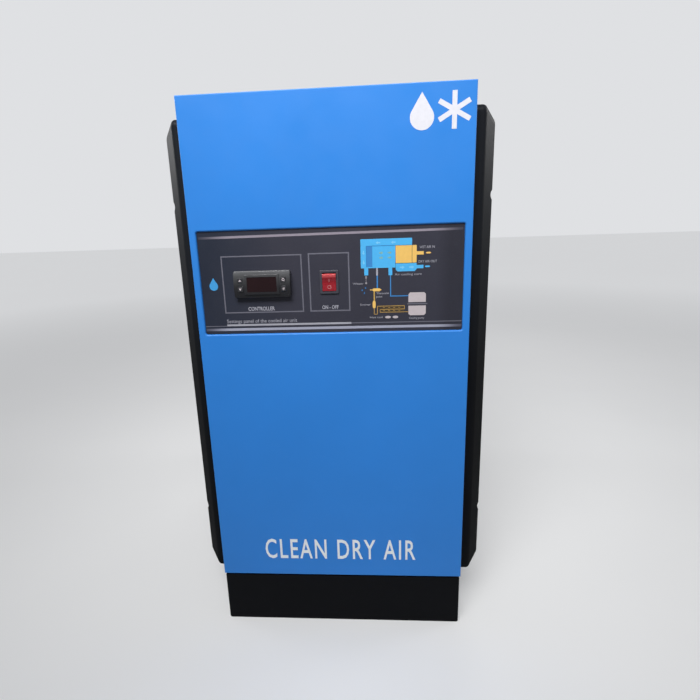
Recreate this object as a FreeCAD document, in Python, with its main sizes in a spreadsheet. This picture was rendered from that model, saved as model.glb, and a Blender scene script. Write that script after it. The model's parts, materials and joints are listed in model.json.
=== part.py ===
"""Refrigerated compressed-air dryer in an upright sheet-metal cabinet.

The frame is +Z up, +X to the right of someone facing the controls, and -Y out of the front panel.
The origin lies on the floor under the middle of the machine. Every length is in millimetres.
Depths named "behind" count from the outside of the front panel towards the rear.
"""

import FreeCAD, Part
import math
import os
import re

import PartDesign
import Sketcher

V = FreeCAD.Vector

# ---------------------------------------------------------------- driving dimensions

DIMENSIONS = {
    # cabinet
    "front_width": 380,
    "cabinet_height": 800,
    "cabinet_depth": 640,
    "plinth_height": 87,
    "sheet": 1.5,
    "base_gauge": 2.5,
    "gap": 0.3,
    "return_depth": 22,
    "fold_radius": 1.3,
    "plinth_inset": 1.7,
    "plinth_lip": 30,
    "anchor_inset": 16.25,
    "anchor_spacing": 560,
    "anchor_radius": 5.5,
    # corner posts
    "post_gauge": 2,
    "post_flange": 26,
    "post_reach": 60,
    "post_setback": 5,
    # side covers
    "cover_setback": 24,
    "cover_bulge": 33,
    "cover_wall": 2,
    "cover_bevel": 17,
    "cover_run_y": 20,
    "cover_run_z": 17,
    "cover_round": 9,
    "cover_edge_round": 7,
    "cover_overlap": 5.2,
    "cover_top_drop": 22.5,
    "pocket_radius": 7.8,
    "pocket_depth": 13,
    "pocket_behind": 48,
    "pocket_low_z": 187.5,
    "pocket_high_z": 666,
    "louvre_length": 220,
    "louvre_slot": 9,
    "louvre_blade": 1.6,
    "louvre_low_z": 150,
    "louvre_pitch": 26,
    "louvre_rows": 13,
    "louvre_column_gap": 24,
    # control strip
    "strip_width": 360.6,
    "strip_bottom": 487.5,
    "strip_top": 630.6,
    "strip_depth": 3,
    "strip_corner": 2.5,
    "strip_rim_round": 2.4,
    "overlay_gauge": 0.5,
    "control_z": 558.2,
    "controller_x": -93,
    "bezel_width": 78.5,
    "bezel_height": 36.5,
    "bezel_thickness": 10,
    "bezel_crown": 66,
    "cutout_width": 71,
    "cutout_height": 29,
    "case_width": 70.5,
    "case_height": 28.5,
    "case_depth": 62,
    "case_wall": 1.8,
    "lens_width": 41,
    "lens_height": 20.5,
    "lens_gauge": 2,
    "key_size": 7,
    "key_x": 30,
    "key_z": 6,
    "key_proud": 0.5,
    "switch_x": -1,
    "switch_width": 26,
    "switch_height": 32,
    "switch_body_width": 21.8,
    "switch_body_height": 27.8,
    "switch_body_depth": 24,
    "switch_opening": 19.2,
    "rocker_width": 18.6,
    "rocker_half": 11.7,
    "rocker_tilt": 8,
    "rocker_pivot": 5,
    # air ports and services on the rear panel
    "port_reach": 45,
    "port_radius": 16.6,
    "port_neck": 16.1,
    "locknut_height": 8,
    "port_bore": 12.5,
    "port_high_z": 685,
    "port_low_z": 585,
    "port_hex": 41,
    "gland_x": 120,
    "gland_z": 150,
    "gland_bore": 5,
    "drain_x": 60,
    "drain_z": 135,
    "stub_radius": 4,
    "screw_head": 4,
    "screw_shank": 2,
    # heat exchanger
    "core_half_width": 70,
    "core_bottom": 550,
    "core_top": 710,
    "core_behind": 250,
    "core_length": 290,
    "tank_length": 25,
    "foam": 12,
    "core_passages": 9,
    # compressor
    "comp_x": 25,
    "comp_behind": 118,
    "comp_radius": 88,
    "comp_wall": 3,
    "comp_shoulder": 34,
    "comp_bottom": 112,
    "comp_top": 372,
    "line_z": 575,
    "foot_spread": 78,
    # condenser and fan
    "coil_x": -160,
    "coil_behind": 440,
    "coil_z": 280,
    "coil_half": 170,
    "coil_thick": 42,
    "coil_levels": 12,
    "coil_pitch": 28,
    "coil_row_pitch": 22,
    "coil_fins": 45,
    "fin_gauge": 0.4,
    "pipe_radius": 4.76,
    "shroud_x": -134,
    "shroud_ring": 35,
    "fan_radius": 140,
    "fan_count": 5,
    "motor_radius": 42,
    "motor_length": 66,
    # condensate drain
    "drip_behind": 237,
    "valve_z": 442,
    "ball_radius": 9,
    "bowl_radius": 21,
    # electrical plate
    "plate_x": 168,
}

# Names worked out from the driving dimensions. They expand into the expressions below.
DERIVED = {
    "half_width": "front_width / 2",
    "control_reach": "bezel_thickness - strip_depth + overlay_gauge",
    "front_y": "-(cabinet_depth + port_reach - control_reach) / 2",
    "rear_y": "front_y + cabinet_depth",
    "middle_y": "front_y + cabinet_depth / 2",
    "channel_height": "plinth_height - base_gauge",
    "panel_bottom": "plinth_height + gap",
    "post_x": "half_width - sheet - gap / 2",
    "cover_x": "post_x + gap",
    "cover_face": "half_width + cover_bulge",
    "cover_bottom": "plinth_height - cover_overlap",
    "cover_top": "cabinet_height - cover_top_drop",
    "floor_y": "front_y + strip_depth",
    "overlay_y": "floor_y - overlay_gauge",
    "bezel_y": "overlay_y - bezel_thickness",
    "case_back_y": "overlay_y + case_depth",
    "bezel_face_y": "bezel_y + key_proud",
    "switch_y": "overlay_y - 2",
    "pivot_y": "switch_y + rocker_pivot",
    "louvre_span": "(louvre_rows - 1) * louvre_pitch",
    "core_y": "front_y + core_behind",
    "tank_y": "core_y - tank_length",
    "core_end_y": "core_y + core_length + tank_length",
    "core_split_z": "(core_bottom + core_top) / 2 + 5",
    "comp_y": "front_y + comp_behind",
    "coil_y": "front_y + coil_behind",
    "coil_low_z": "coil_z - (coil_levels - 1) * coil_pitch / 2",
    "inner_row_x": "coil_x + coil_row_pitch / 2",
    "outer_row_x": "coil_x - coil_row_pitch / 2",
    "coil_mouth_y": "coil_y - coil_half - 24",
    "drip_y": "front_y + drip_behind",
}

doc = FreeCAD.newDocument("air_dryer")
dims = doc.addObject("Spreadsheet::Sheet", "dims")
for row, (alias, value) in enumerate(DIMENSIONS.items(), start=1):
    dims.set(f"A{row}", alias)
    dims.set(f"B{row}", str(value))
    dims.setAlias(f"B{row}", alias)
doc.recompute()

NODES = []

# ---------------------------------------------------------------- helpers


def full(text):
    """An expression with its derived names expanded and its aliases pointed at the spreadsheet."""

    def swap(match):
        word = match.group(0)
        if word in DERIVED:
            return "(" + full(DERIVED[word]) + ")"
        return "dims." + word if word in DIMENSIONS else word

    return re.sub(r"[A-Za-z_][A-Za-z_0-9]*", swap, str(text))


def num(text):
    """The value of an expression, for the shapes that Part's own functions make."""
    return float(dims.evalExpression(full(text)))


def bind(thing, **cells):
    """Binds properties to expressions."""
    for name, text in cells.items():
        thing.setExpression(name, full(text))
    return thing


def place(thing, x, y, z):
    for axis, text in zip("xyz", (x, y, z)):
        thing.setExpression(f"Placement.Base.{axis}", full(text))
    return thing


def node(name, thing):
    """Registers a finished object as the sub-part of that name."""
    thing.Label = name
    NODES.append(thing)
    return thing


TURN = {
    "z": FreeCAD.Rotation(),
    "x": FreeCAD.Rotation(V(0, 1, 0), 90),
    "y": FreeCAD.Rotation(V(1, 0, 0), -90),
    "-z": FreeCAD.Rotation(V(1, 0, 0), 180),
    "-x": FreeCAD.Rotation(V(0, 1, 0), -90),
    "-y": FreeCAD.Rotation(V(1, 0, 0), 90),
    "sloping": FreeCAD.Rotation(V(1, 0, 0), -135),
}


def box(name, x, y, z):
    """A Part::Box between the pairs of expressions x, y and z."""
    made = doc.addObject("Part::Box", name)
    for prop, (low, high) in zip(("Length", "Width", "Height"), (x, y, z)):
        bind(made, **{prop: f"({high}) - ({low})"})
    return place(made, x[0], y[0], z[0])


def cylinder(name, axis, start, length, radius):
    """A Part::Cylinder from the point start along an axis such as "x" or "-y"."""
    made = doc.addObject("Part::Cylinder", name)
    made.Placement = FreeCAD.Placement(V(), TURN[axis])
    bind(made, Radius=radius, Height=length)
    return place(made, *start)


def cone(name, axis, start, length, radius, end_radius):
    made = doc.addObject("Part::Cone", name)
    made.Placement = FreeCAD.Placement(V(), TURN[axis])
    bind(made, Radius1=radius, Radius2=end_radius, Height=length)
    return place(made, *start)


def sphere(name, centre, radius):
    made = doc.addObject("Part::Sphere", name)
    return place(bind(made, Radius=radius), *centre)


def hexagon(name, axis, start, length, across_flats):
    """A Part::Prism with six sides."""
    made = doc.addObject("Part::Prism", name)
    made.Polygon = 6
    made.Placement = FreeCAD.Placement(V(), TURN[axis])
    bind(made, Circumradius=f"({across_flats}) / 2 / cos(30)", Height=length)
    return place(made, *start)


def cut(name, base, *tools):
    made = doc.addObject("Part::Cut", name)
    made.Base = base
    made.Tool = tools[0] if len(tools) == 1 else fuse(name + "_tools", *tools)
    return made


def fuse(name, *parts):
    made = doc.addObject("Part::MultiFuse", name)
    made.Shapes = list(parts)
    made.Refine = True
    return made


def common(name, *parts):
    made = doc.addObject("Part::MultiCommon", name)
    made.Shapes = list(parts)
    return made


def group(name, *parts):
    """Separate solids kept together as one Part::Compound."""
    made = doc.addObject("Part::Compound", name)
    made.Links = list(parts)
    return made


def mirror(name, source):
    """The source mirrored in the plane x = 0."""
    made = doc.addObject("Part::Mirroring", name)
    made.Source = source
    made.Normal = V(1, 0, 0)
    return made


def edges_where(shape, test):
    """The 1-based numbers of the edges whose bounding box passes the test."""
    return [i for i, e in enumerate(shape.Edges, start=1) if test(e.BoundBox)]


def fillet(name, base, radius, test):
    """Rounds the edges that pass the test."""
    doc.recompute()
    size = num(radius)
    made = doc.addObject("Part::Fillet", name)
    made.Base = base
    made.Edges = [(i, size, size) for i in edges_where(base.Shape, test)]
    return made


# Planes: the body's origin plane, the sign of its normal, and the world axis it crosses.
PLANES = {"XY": 1, "XZ": -1, "YZ": 1}


def body(name):
    return doc.addObject("PartDesign::Body", name)


def sketch(owner, plane, at="0"):
    """A sketch of that body on an origin plane, moved to the coordinate at along the plane's axis."""
    made = owner.newObject("Sketcher::SketchObject", owner.Name + "_sketch")
    support = [o for o in owner.Origin.OriginFeatures if o.Role == plane + "_Plane"][0]
    made.AttachmentSupport = [(support, "")]
    made.MapMode = "FlatFace"
    made.setExpression("AttachmentOffset.Base.z", full(f"{PLANES[plane]} * ({at})"))
    return made


def pin(drawn, kind, index, text):
    """Adds a coordinate constraint to a point of the sketch and binds it to an expression."""
    number = drawn.addConstraint(Sketcher.Constraint(kind, -1, 1, *index, num(text)))
    drawn.setExpression(f"Constraints[{number}]", full(text))


def polygon(drawn, points):
    """A closed outline whose corners are pairs of expressions."""
    first = drawn.GeometryCount
    corners = [V(num(u), num(v), 0) for u, v in points]
    count = len(corners)
    for i in range(count):
        drawn.addGeometry(Part.LineSegment(corners[i], corners[(i + 1) % count]))
    for i, (u, v) in enumerate(points):
        after = first + (i + 1) % count
        drawn.addConstraint(Sketcher.Constraint("Coincident", first + i, 2, after, 1))
        pin(drawn, "DistanceX", (first + i, 1), u)
        pin(drawn, "DistanceY", (first + i, 1), v)
    return drawn


def rectangle(drawn, u, v):
    return polygon(drawn, [(u[0], v[0]), (u[1], v[0]), (u[1], v[1]), (u[0], v[1])])


def rounded(drawn, u, v, radius):
    """A rectangle with round corners, tangent all the way round."""
    first = drawn.GeometryCount
    (u0, u1), (v0, v1), r = [num(x) for x in u], [num(x) for x in v], num(radius)
    sides = [((u0 + r, v0), (u1 - r, v0)), ((u1, v0 + r), (u1, v1 - r)),
             ((u1 - r, v1), (u0 + r, v1)), ((u0, v1 - r), (u0, v0 + r))]
    centres = [(u1 - r, v0 + r), (u1 - r, v1 - r), (u0 + r, v1 - r), (u0 + r, v0 + r)]
    for start, end in sides:
        drawn.addGeometry(Part.LineSegment(V(*start, 0), V(*end, 0)))
    for i, centre in enumerate(centres):
        circle_at = Part.Circle(V(*centre, 0), V(0, 0, 1), r)
        begin = (i - 1) * math.pi / 2
        drawn.addGeometry(Part.ArcOfCircle(circle_at, begin, begin + math.pi / 2))
    for i in range(4):
        side, arc, after = first + i, first + 4 + i, first + (i + 1) % 4
        drawn.addConstraint(Sketcher.Constraint("Tangent", side, 2, arc, 1))
        drawn.addConstraint(Sketcher.Constraint("Tangent", arc, 2, after, 1))
        drawn.addConstraint(Sketcher.Constraint("Vertical" if i % 2 else "Horizontal", side))
        number = drawn.addConstraint(Sketcher.Constraint("Radius", arc, r))
        drawn.setExpression(f"Constraints[{number}]", full(radius))
    pin(drawn, "DistanceY", (first, 1), v[0])
    pin(drawn, "DistanceX", (first + 1, 1), u[1])
    pin(drawn, "DistanceY", (first + 2, 1), v[1])
    pin(drawn, "DistanceX", (first + 3, 1), u[0])
    return drawn


def circle(drawn, u, v, radius):
    made = drawn.addGeometry(Part.Circle(V(num(u), num(v), 0), V(0, 0, 1), num(radius)))
    number = drawn.addConstraint(Sketcher.Constraint("Radius", made, num(radius)))
    drawn.setExpression(f"Constraints[{number}]", full(radius))
    pin(drawn, "DistanceX", (made, 3), u)
    pin(drawn, "DistanceY", (made, 3), v)
    return drawn


def feature(kind, drawn, length, toward, taper=None):
    """A Pad or Pocket of the sketch, towards +1 or -1 along the axis that its plane crosses."""
    owner = drawn.getParentGeoFeatureGroup()
    plane = drawn.AttachmentSupport[0][0].Role[:2]
    made = owner.newObject("PartDesign::" + kind, owner.Name + "_" + kind.lower())
    made.Profile = drawn
    natural = PLANES[plane] * (1 if kind == "Pad" else -1)
    made.Reversed = natural != toward
    bind(made, Length=length)
    if taper:
        bind(made, TaperAngle=taper)
    drawn.Visibility = False
    return made


def pad(drawn, length, toward=1, **more):
    return feature("Pad", drawn, length, toward, **more)


def pocket(drawn, length, toward=1, **more):
    """A Pocket, checked: it has to take material away."""
    owner = drawn.getParentGeoFeatureGroup()
    doc.recompute()
    before = owner.Shape.Volume
    made = feature("Pocket", drawn, length, toward, **more)
    doc.recompute()
    if not made.Shape.Volume < before - 1e-6:
        raise SystemExit(f"{made.Name} cuts nothing")
    return made


def dress(owner, kind, size, test):
    """A PartDesign Fillet or Chamfer on the edges of the body's tip that pass the test."""
    doc.recompute()
    tip = owner.Tip
    names = [f"Edge{i}" for i in edges_where(tip.Shape, test)]
    made = owner.newObject("PartDesign::" + kind, owner.Name + "_" + kind.lower())
    made.Base = (tip, names)
    bind(made, **{"Radius" if kind == "Fillet" else "Size": size})
    return made


def revolve(name, points, x, y):
    """A Part::Revolution of a closed outline of (radius, height) pairs about an upright axis at x, y."""
    corners = [V(num(r), 0, num(h)) for r, h in points]
    wire = doc.addObject("Part::Feature", name + "_outline")
    wire.Shape = Part.Face(Part.makePolygon(corners + corners[:1]))
    made = doc.addObject("Part::Revolution", name)
    made.Source = wire
    made.Axis = V(0, 0, 1)
    made.Angle = 360
    made.Solid = True
    return place(made, x, y, "0")


def route(points, bend):
    """A wire of straight runs through the points, joined by tangent arcs of that bend radius."""
    spots = [V(*(num(c) for c in p)) for p in points]
    edges = []
    last = spots[0]
    for i in range(1, len(spots) - 1):
        into = (spots[i] - spots[i - 1]).normalize()
        out = (spots[i + 1] - spots[i]).normalize()
        turn = into.getAngle(out)
        reach = bend * math.tan(turn / 2)
        start, end = spots[i] - into * reach, spots[i] + out * reach
        middle = spots[i] + (out - into).normalize() * (bend / math.cos(turn / 2) - bend)
        if (start - last).Length > 1e-6:
            edges.append(Part.LineSegment(last, start).toShape())
        edges.append(Part.Arc(start, middle, end).toShape())
        last = end
    if (spots[-1] - last).Length > 1e-6:
        edges.append(Part.LineSegment(last, spots[-1]).toShape())
    return Part.Wire(edges)


def swept(path, radius):
    """A solid round bar along a wire."""
    edge = path.Edges[0]
    start = edge.valueAt(edge.FirstParameter)
    ring = Part.Wire(Part.Circle(start, edge.tangentAt(edge.FirstParameter), radius).toShape())
    return path.makePipeShell([ring], True, True)


def tube(name, points, radius, bend, bore=None):
    """A bent tube or rod as a Part::Feature. Its sizes come from expressions."""
    path = route(points, num(bend))
    shape = swept(path, num(radius))
    if bore:
        shape = shape.cut(swept(path, num(bore)))
    made = doc.addObject("Part::Feature", name)
    made.Shape = shape
    return made


def copies(name, source, spots, turns=None):
    """One Part::Feature with a copy of the source's shape at each spot, as separate solids."""
    doc.recompute()
    shapes = []
    for i, spot in enumerate(spots):
        shape = source.Shape.copy()
        turn = turns[i] if turns else FreeCAD.Rotation()
        shape.Placement = FreeCAD.Placement(V(*(num(c) for c in spot)), turn)
        shapes.append(shape)
    made = doc.addObject("Part::Feature", name)
    made.Shape = Part.makeCompound(shapes)
    return made


def pattern(owner, originals, axis, length, count):
    """A PartDesign linear pattern of features along an origin axis, as the body's new tip."""
    made = owner.newObject("PartDesign::LinearPattern", owner.Name + "_pattern")
    made.Originals = originals
    line = [o for o in owner.Origin.OriginFeatures if o.Role == axis + "_Axis"][0]
    made.Direction = (line, [""])
    bind(made, Length=length)
    made.Occurrences = int(num(count))
    owner.Tip = made
    return made


def behind(side, depth):
    """The y of a depth measured inwards from the "front" or the "rear" face."""
    return f"front_y + ({depth})" if side == "front" else f"rear_y - ({depth})"


def span(side, near, far):
    """A low-to-high pair of y coordinates for a range of depths from one face."""
    pair = (behind(side, near), behind(side, far))
    return pair if side == "front" else pair[::-1]


def flush_screw(name, axis, start, length, slack="0"):
    """A countersunk screw whose head lies flush. With slack it is the tool for its hole."""
    head = cone(name + "_head", axis, start, "sheet", f"screw_head + {slack}", f"screw_shank + {slack}")
    shank = cylinder(name + "_shank", axis, start, length, f"screw_shank + {slack}")
    return fuse(name, head, shank)


def square(centre, half):
    """The pair of expressions half a width either side of a centre."""
    return (f"{centre} - {half}", f"{centre} + {half}")


INWARD = {"front": 1, "rear": -1}
PANEL_SCREW_Z = ("155", "443", "731")
PANEL_SCREW_DEPTH = "13"
TOP_SCREW_DEPTH = "45"
TOP_SCREW_Z = "cabinet_height - 12"
POCKET_Z = ("pocket_low_z", "pocket_high_z")
SIDES = (("left", "-", "x"), ("right", "", "-x"))

# ---------------------------------------------------------------- plinth


def base_tray():
    """The floor of the machine, folded down along both sides to make the side walls of the plinth."""
    tray_body = body("base_tray")
    edge = "half_width - plinth_inset"
    end = "plinth_inset + base_gauge + gap"
    profile = sketch(tray_body, "XZ", behind("front", end))
    top, under, g = "plinth_height", "channel_height", "base_gauge"
    wall, lip = f"{edge} - {g}", f"{edge} - plinth_lip"
    polygon(profile, [(f"-({edge})", "0"), (f"-({lip})", "0"), (f"-({lip})", g), (f"-({wall})", g),
                      (f"-({wall})", under), (wall, under), (wall, g), (lip, g), (lip, "0"), (edge, "0"),
                      (edge, top), (f"-({edge})", top)])
    pad(profile, f"cabinet_depth - 2 * ({end})", 1)
    notches = sketch(tray_body, "XY")
    for side in ("front", "rear"):
        depth = span(side, "0", "plinth_inset + plinth_lip + gap")
        rectangle(notches, (f"-({wall})", f"-({lip} - 1)"), depth)
        rectangle(notches, (f"{lip} - 1", wall), depth)
    pocket(notches, "base_gauge")
    holes = sketch(tray_body, "XY")
    for sign_x in ("-", ""):
        for sign_y in ("-", "+"):
            circle(holes, f"{sign_x}(half_width - plinth_inset - anchor_inset)",
                   f"middle_y {sign_y} anchor_spacing / 2", "anchor_radius")
    pocket(holes, "base_gauge")
    bolts = sketch(tray_body, "XY", "channel_height")
    for x in ("comp_x - foot_spread", "comp_x + foot_spread"):
        for y in ("comp_y - foot_spread", "comp_y + foot_spread"):
            circle(bolts, x, y, "3.3")
    pocket(bolts, "base_gauge")
    node("base_tray", tray_body)


def plinth_end(side):
    """The channel across the front or the rear, notched at its ends for the folded sides."""
    channel = body(f"plinth_{side}")
    edge = "half_width - plinth_inset"
    wall = behind(side, "plinth_inset")
    inner = behind(side, "plinth_inset + base_gauge")
    lip = behind(side, "plinth_inset + plinth_lip")
    profile = sketch(channel, "YZ", f"-({edge})")
    top = "channel_height"
    polygon(profile, [(wall, "0"), (lip, "0"), (lip, "base_gauge"), (inner, "base_gauge"),
                      (inner, f"{top} - base_gauge"), (lip, f"{top} - base_gauge"), (lip, top), (wall, top)])
    pad(profile, f"2 * ({edge})")
    notches = sketch(channel, "XY")
    depth = span(side, "plinth_inset + base_gauge", "plinth_inset + plinth_lip")
    rectangle(notches, (f"-({edge})", f"-({edge} - base_gauge - gap)"), depth)
    rectangle(notches, (f"{edge} - base_gauge - gap", edge), depth)
    pocket(notches, top)
    limit = num(edge) - 0.01
    dress(channel, "Fillet", "3.5", lambda b: b.ZMax < 0.01 and abs(b.XMin) > limit and b.XLength < 0.01)
    node(f"plinth_{side}", channel)


# ---------------------------------------------------------------- cabinet


def side_frames():
    """One folded sheet on each side: two posts, joined along the bottom and the top."""
    frame = body("side_frame")
    near, far = behind("front", "post_setback"), behind("rear", "post_setback")
    low, high = "panel_bottom", "cabinet_height - sheet - gap"
    outline = sketch(frame, "YZ", "post_x - post_gauge")
    rectangle(outline, (near, far), (low, high))
    pad(outline, "post_gauge", 1)
    window = sketch(frame, "YZ", "post_x")
    rounded(window, (f"{near} + post_reach", f"{far} - post_reach"), (f"{low} + 50", f"{high} - 50"), "18")
    pocket(window, "post_gauge", -1)
    for side, edge in (("front", near), ("rear", far)):
        lip = sketch(frame, "XZ", edge)
        rectangle(lip, ("post_x - post_flange", "post_x"), (low, high))
        pad(lip, "post_gauge", INWARD[side])
    notches = sketch(frame, "YZ", "post_x")
    for side in ("front", "rear"):
        rectangle(notches, span(side, "0", "return_depth + gap"), (low, f"{low} + sheet + gap"))
    pocket(notches, "post_flange", -1)
    holes = sketch(frame, "YZ", "post_x")
    for side in ("front", "rear"):
        spots = [(PANEL_SCREW_DEPTH, z) for z in PANEL_SCREW_Z] + [(TOP_SCREW_DEPTH, TOP_SCREW_Z)]
        spots += [("pocket_behind", z) for z in POCKET_Z]
        for depth, z in spots:
            circle(holes, behind(side, depth), z, "screw_shank + 0.15")
    pocket(holes, "post_gauge", -1)
    right = node("side_frame_right", frame)
    node("side_frame_left", mirror("side_frame_left", right))


def front_tray():
    """A body with the skin and the four returns of the front panel."""
    panel = body("front_tray")
    outline = sketch(panel, "XZ", "front_y")
    rectangle(outline, ("-half_width", "half_width"), ("panel_bottom", "cabinet_height"))
    pad(outline, "return_depth", INWARD["front"])
    hollow = sketch(panel, "XZ", behind("front", "return_depth"))
    rectangle(hollow, ("-(half_width - sheet)", "half_width - sheet"),
              ("panel_bottom + sheet", "cabinet_height - sheet"))
    pocket(hollow, "return_depth - sheet", -INWARD["front"])
    face = num("front_y")
    dress(panel, "Fillet", "fold_radius", lambda b: abs(b.YMin - face) < 0.01 and b.YLength < 0.01)
    return panel


def screw_spots(side):
    """Where the flush screws of the front panel, the rear panel or the top cover start."""
    if side == "top":
        return [(axis, (f"{sign}half_width", behind(end, TOP_SCREW_DEPTH), TOP_SCREW_Z))
                for _, sign, axis in SIDES for end in ("front", "rear")]
    return [(axis, (f"{sign}half_width", behind(side, PANEL_SCREW_DEPTH), z))
            for _, sign, axis in SIDES for z in PANEL_SCREW_Z]


def panel_holes(side):
    return [flush_screw(f"{side}_hole", axis, start, "4", "0.1") for axis, start in screw_spots(side)]


def panel_screws():
    screws = [flush_screw("panel_screw", axis, start, "12")
              for side in ("front", "rear", "top") for axis, start in screw_spots(side)]
    node("panel_screws", group("panel_screws", *screws))


def control_cutouts(owner, at):
    """A sketch of the two cut-outs for the controller and the switch."""
    holes = sketch(owner, "XZ", at)
    rectangle(holes, square("controller_x", "cutout_width / 2"), square("control_z", "cutout_height / 2"))
    rectangle(holes, square("switch_x", "(switch_body_width / 2 + 0.2)"),
              square("control_z", "(switch_body_height / 2 + 0.2)"))
    return holes


def front_panel():
    """The blue panel, pressed in behind the control strip with a round rim."""
    panel = front_tray()
    half = "strip_width / 2"
    boss = sketch(panel, "XZ", "front_y + sheet / 2")
    rounded(boss, (f"-({half} + sheet)", f"{half} + sheet"), ("strip_bottom - sheet", "strip_top + sheet"),
            "strip_corner + sheet")
    pad(boss, "strip_depth + sheet / 2", 1)
    recess = sketch(panel, "XZ", "front_y")
    rounded(recess, (f"-({half})", half), ("strip_bottom", "strip_top"), "strip_corner")
    pocket(recess, "strip_depth", 1)
    face = num("front_y")
    reach = num(half) + 0.01
    dress(panel, "Fillet", "strip_rim_round",
          lambda b: abs(b.YMin - face) < 0.01 and b.YLength < 0.01 and b.XMax < reach and b.XMin > -reach
          and b.ZMin > num("strip_bottom") - 0.01 and b.ZMax < num("strip_top") + 0.01)
    pocket(control_cutouts(panel, "front_y"), "strip_depth + sheet + 2", 1)
    node("front_panel", cut("front_panel", panel, *panel_holes("front")))


def rear_panel():
    """The slotted rear skin, with a separate flange welded along each of its edges."""
    skin = body("rear_skin")
    outline = sketch(skin, "XZ", "rear_y")
    rectangle(outline, ("-half_width", "half_width"), ("panel_bottom", "cabinet_height"))
    pad(outline, "sheet", -1)
    holes = sketch(skin, "XZ", "rear_y")
    circle(holes, "0", "port_high_z", "port_neck + 0.6")
    circle(holes, "0", "port_low_z", "port_neck + 0.6")
    circle(holes, "gland_x", "gland_z", "10.3")
    circle(holes, "drain_x", "drain_z", "8.3")
    pocket(holes, "sheet", -1)
    slots = sketch(skin, "XZ", "rear_y")
    for left in ("-150", "-90", "-30", "30"):
        rounded(slots, (left, f"{left} + 48"), ("220", "228"), "3.9")
    row = pocket(slots, "sheet", -1)
    pattern(skin, [row], "Z", "240", "13")
    y = ("rear_y - return_depth", "rear_y - sheet")
    inner_x = ("-(half_width - sheet)", "half_width - sheet")
    screwed = [box("rear_flange", x, y, ("panel_bottom", "cabinet_height"))
               for x in (("-half_width", "-(half_width - sheet)"), ("half_width - sheet", "half_width"))]
    flanges = [cut("rear_side_flange", flange, *panel_holes("rear")) for flange in screwed]
    flanges.append(box("rear_flange", inner_x, y, ("panel_bottom", "panel_bottom + sheet")))
    flanges.append(box("rear_flange", inner_x, y, ("cabinet_height - sheet", "cabinet_height")))
    node("rear_panel", group("rear_panel", skin, *flanges))


def top_cover():
    lid = body("lid")
    depth = (behind("front", "return_depth + gap"), behind("rear", "return_depth + gap"))
    outline = sketch(lid, "XY", "cabinet_height")
    rectangle(outline, ("-half_width", "half_width"), depth)
    pad(outline, "cover_top_drop - gap", -1)
    hollow = sketch(lid, "XY", "cabinet_height - sheet")
    rectangle(hollow, ("-(half_width - sheet)", "half_width - sheet"), depth)
    pocket(hollow, "cover_top_drop", -1)
    top = num("cabinet_height")
    edge = num("half_width") - 0.01
    dress(lid, "Fillet", "fold_radius",
          lambda b: b.ZMin > top - 0.01 and abs(b.XMin) > edge and b.XLength < 0.01)
    node("top_cover", cut("top_cover", lid, *panel_holes("top")))


def cover_solid(name, inset, face_inset, start, shoulder, face):
    """The outside or the inside of a side cover: a straight part, then a bevel up to the face."""
    solid = body(name)
    y = (behind("front", f"cover_setback + {inset}"), behind("rear", f"cover_setback + {inset}"))
    z = (f"cover_bottom + {inset}", f"cover_top - {inset}")
    outline = sketch(solid, "YZ", start)
    rounded(outline, y, z, "cover_round")
    pad(outline, f"({shoulder}) - ({start})")
    low = sketch(solid, "YZ", shoulder)
    rounded(low, y, z, "cover_round")
    high = sketch(solid, "YZ", face)
    rounded(high, (f"{y[0]} + cover_run_y + {face_inset}", f"{y[1]} - cover_run_y - {face_inset}"),
            (f"{z[0]} + cover_run_z + {face_inset}", f"{z[1]} - cover_run_z - {face_inset}"), "cover_round")
    bevel = solid.newObject("PartDesign::AdditiveLoft", name + "_bevel")
    bevel.Profile = low
    bevel.Sections = [high]
    bevel.Ruled = True
    return solid


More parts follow.
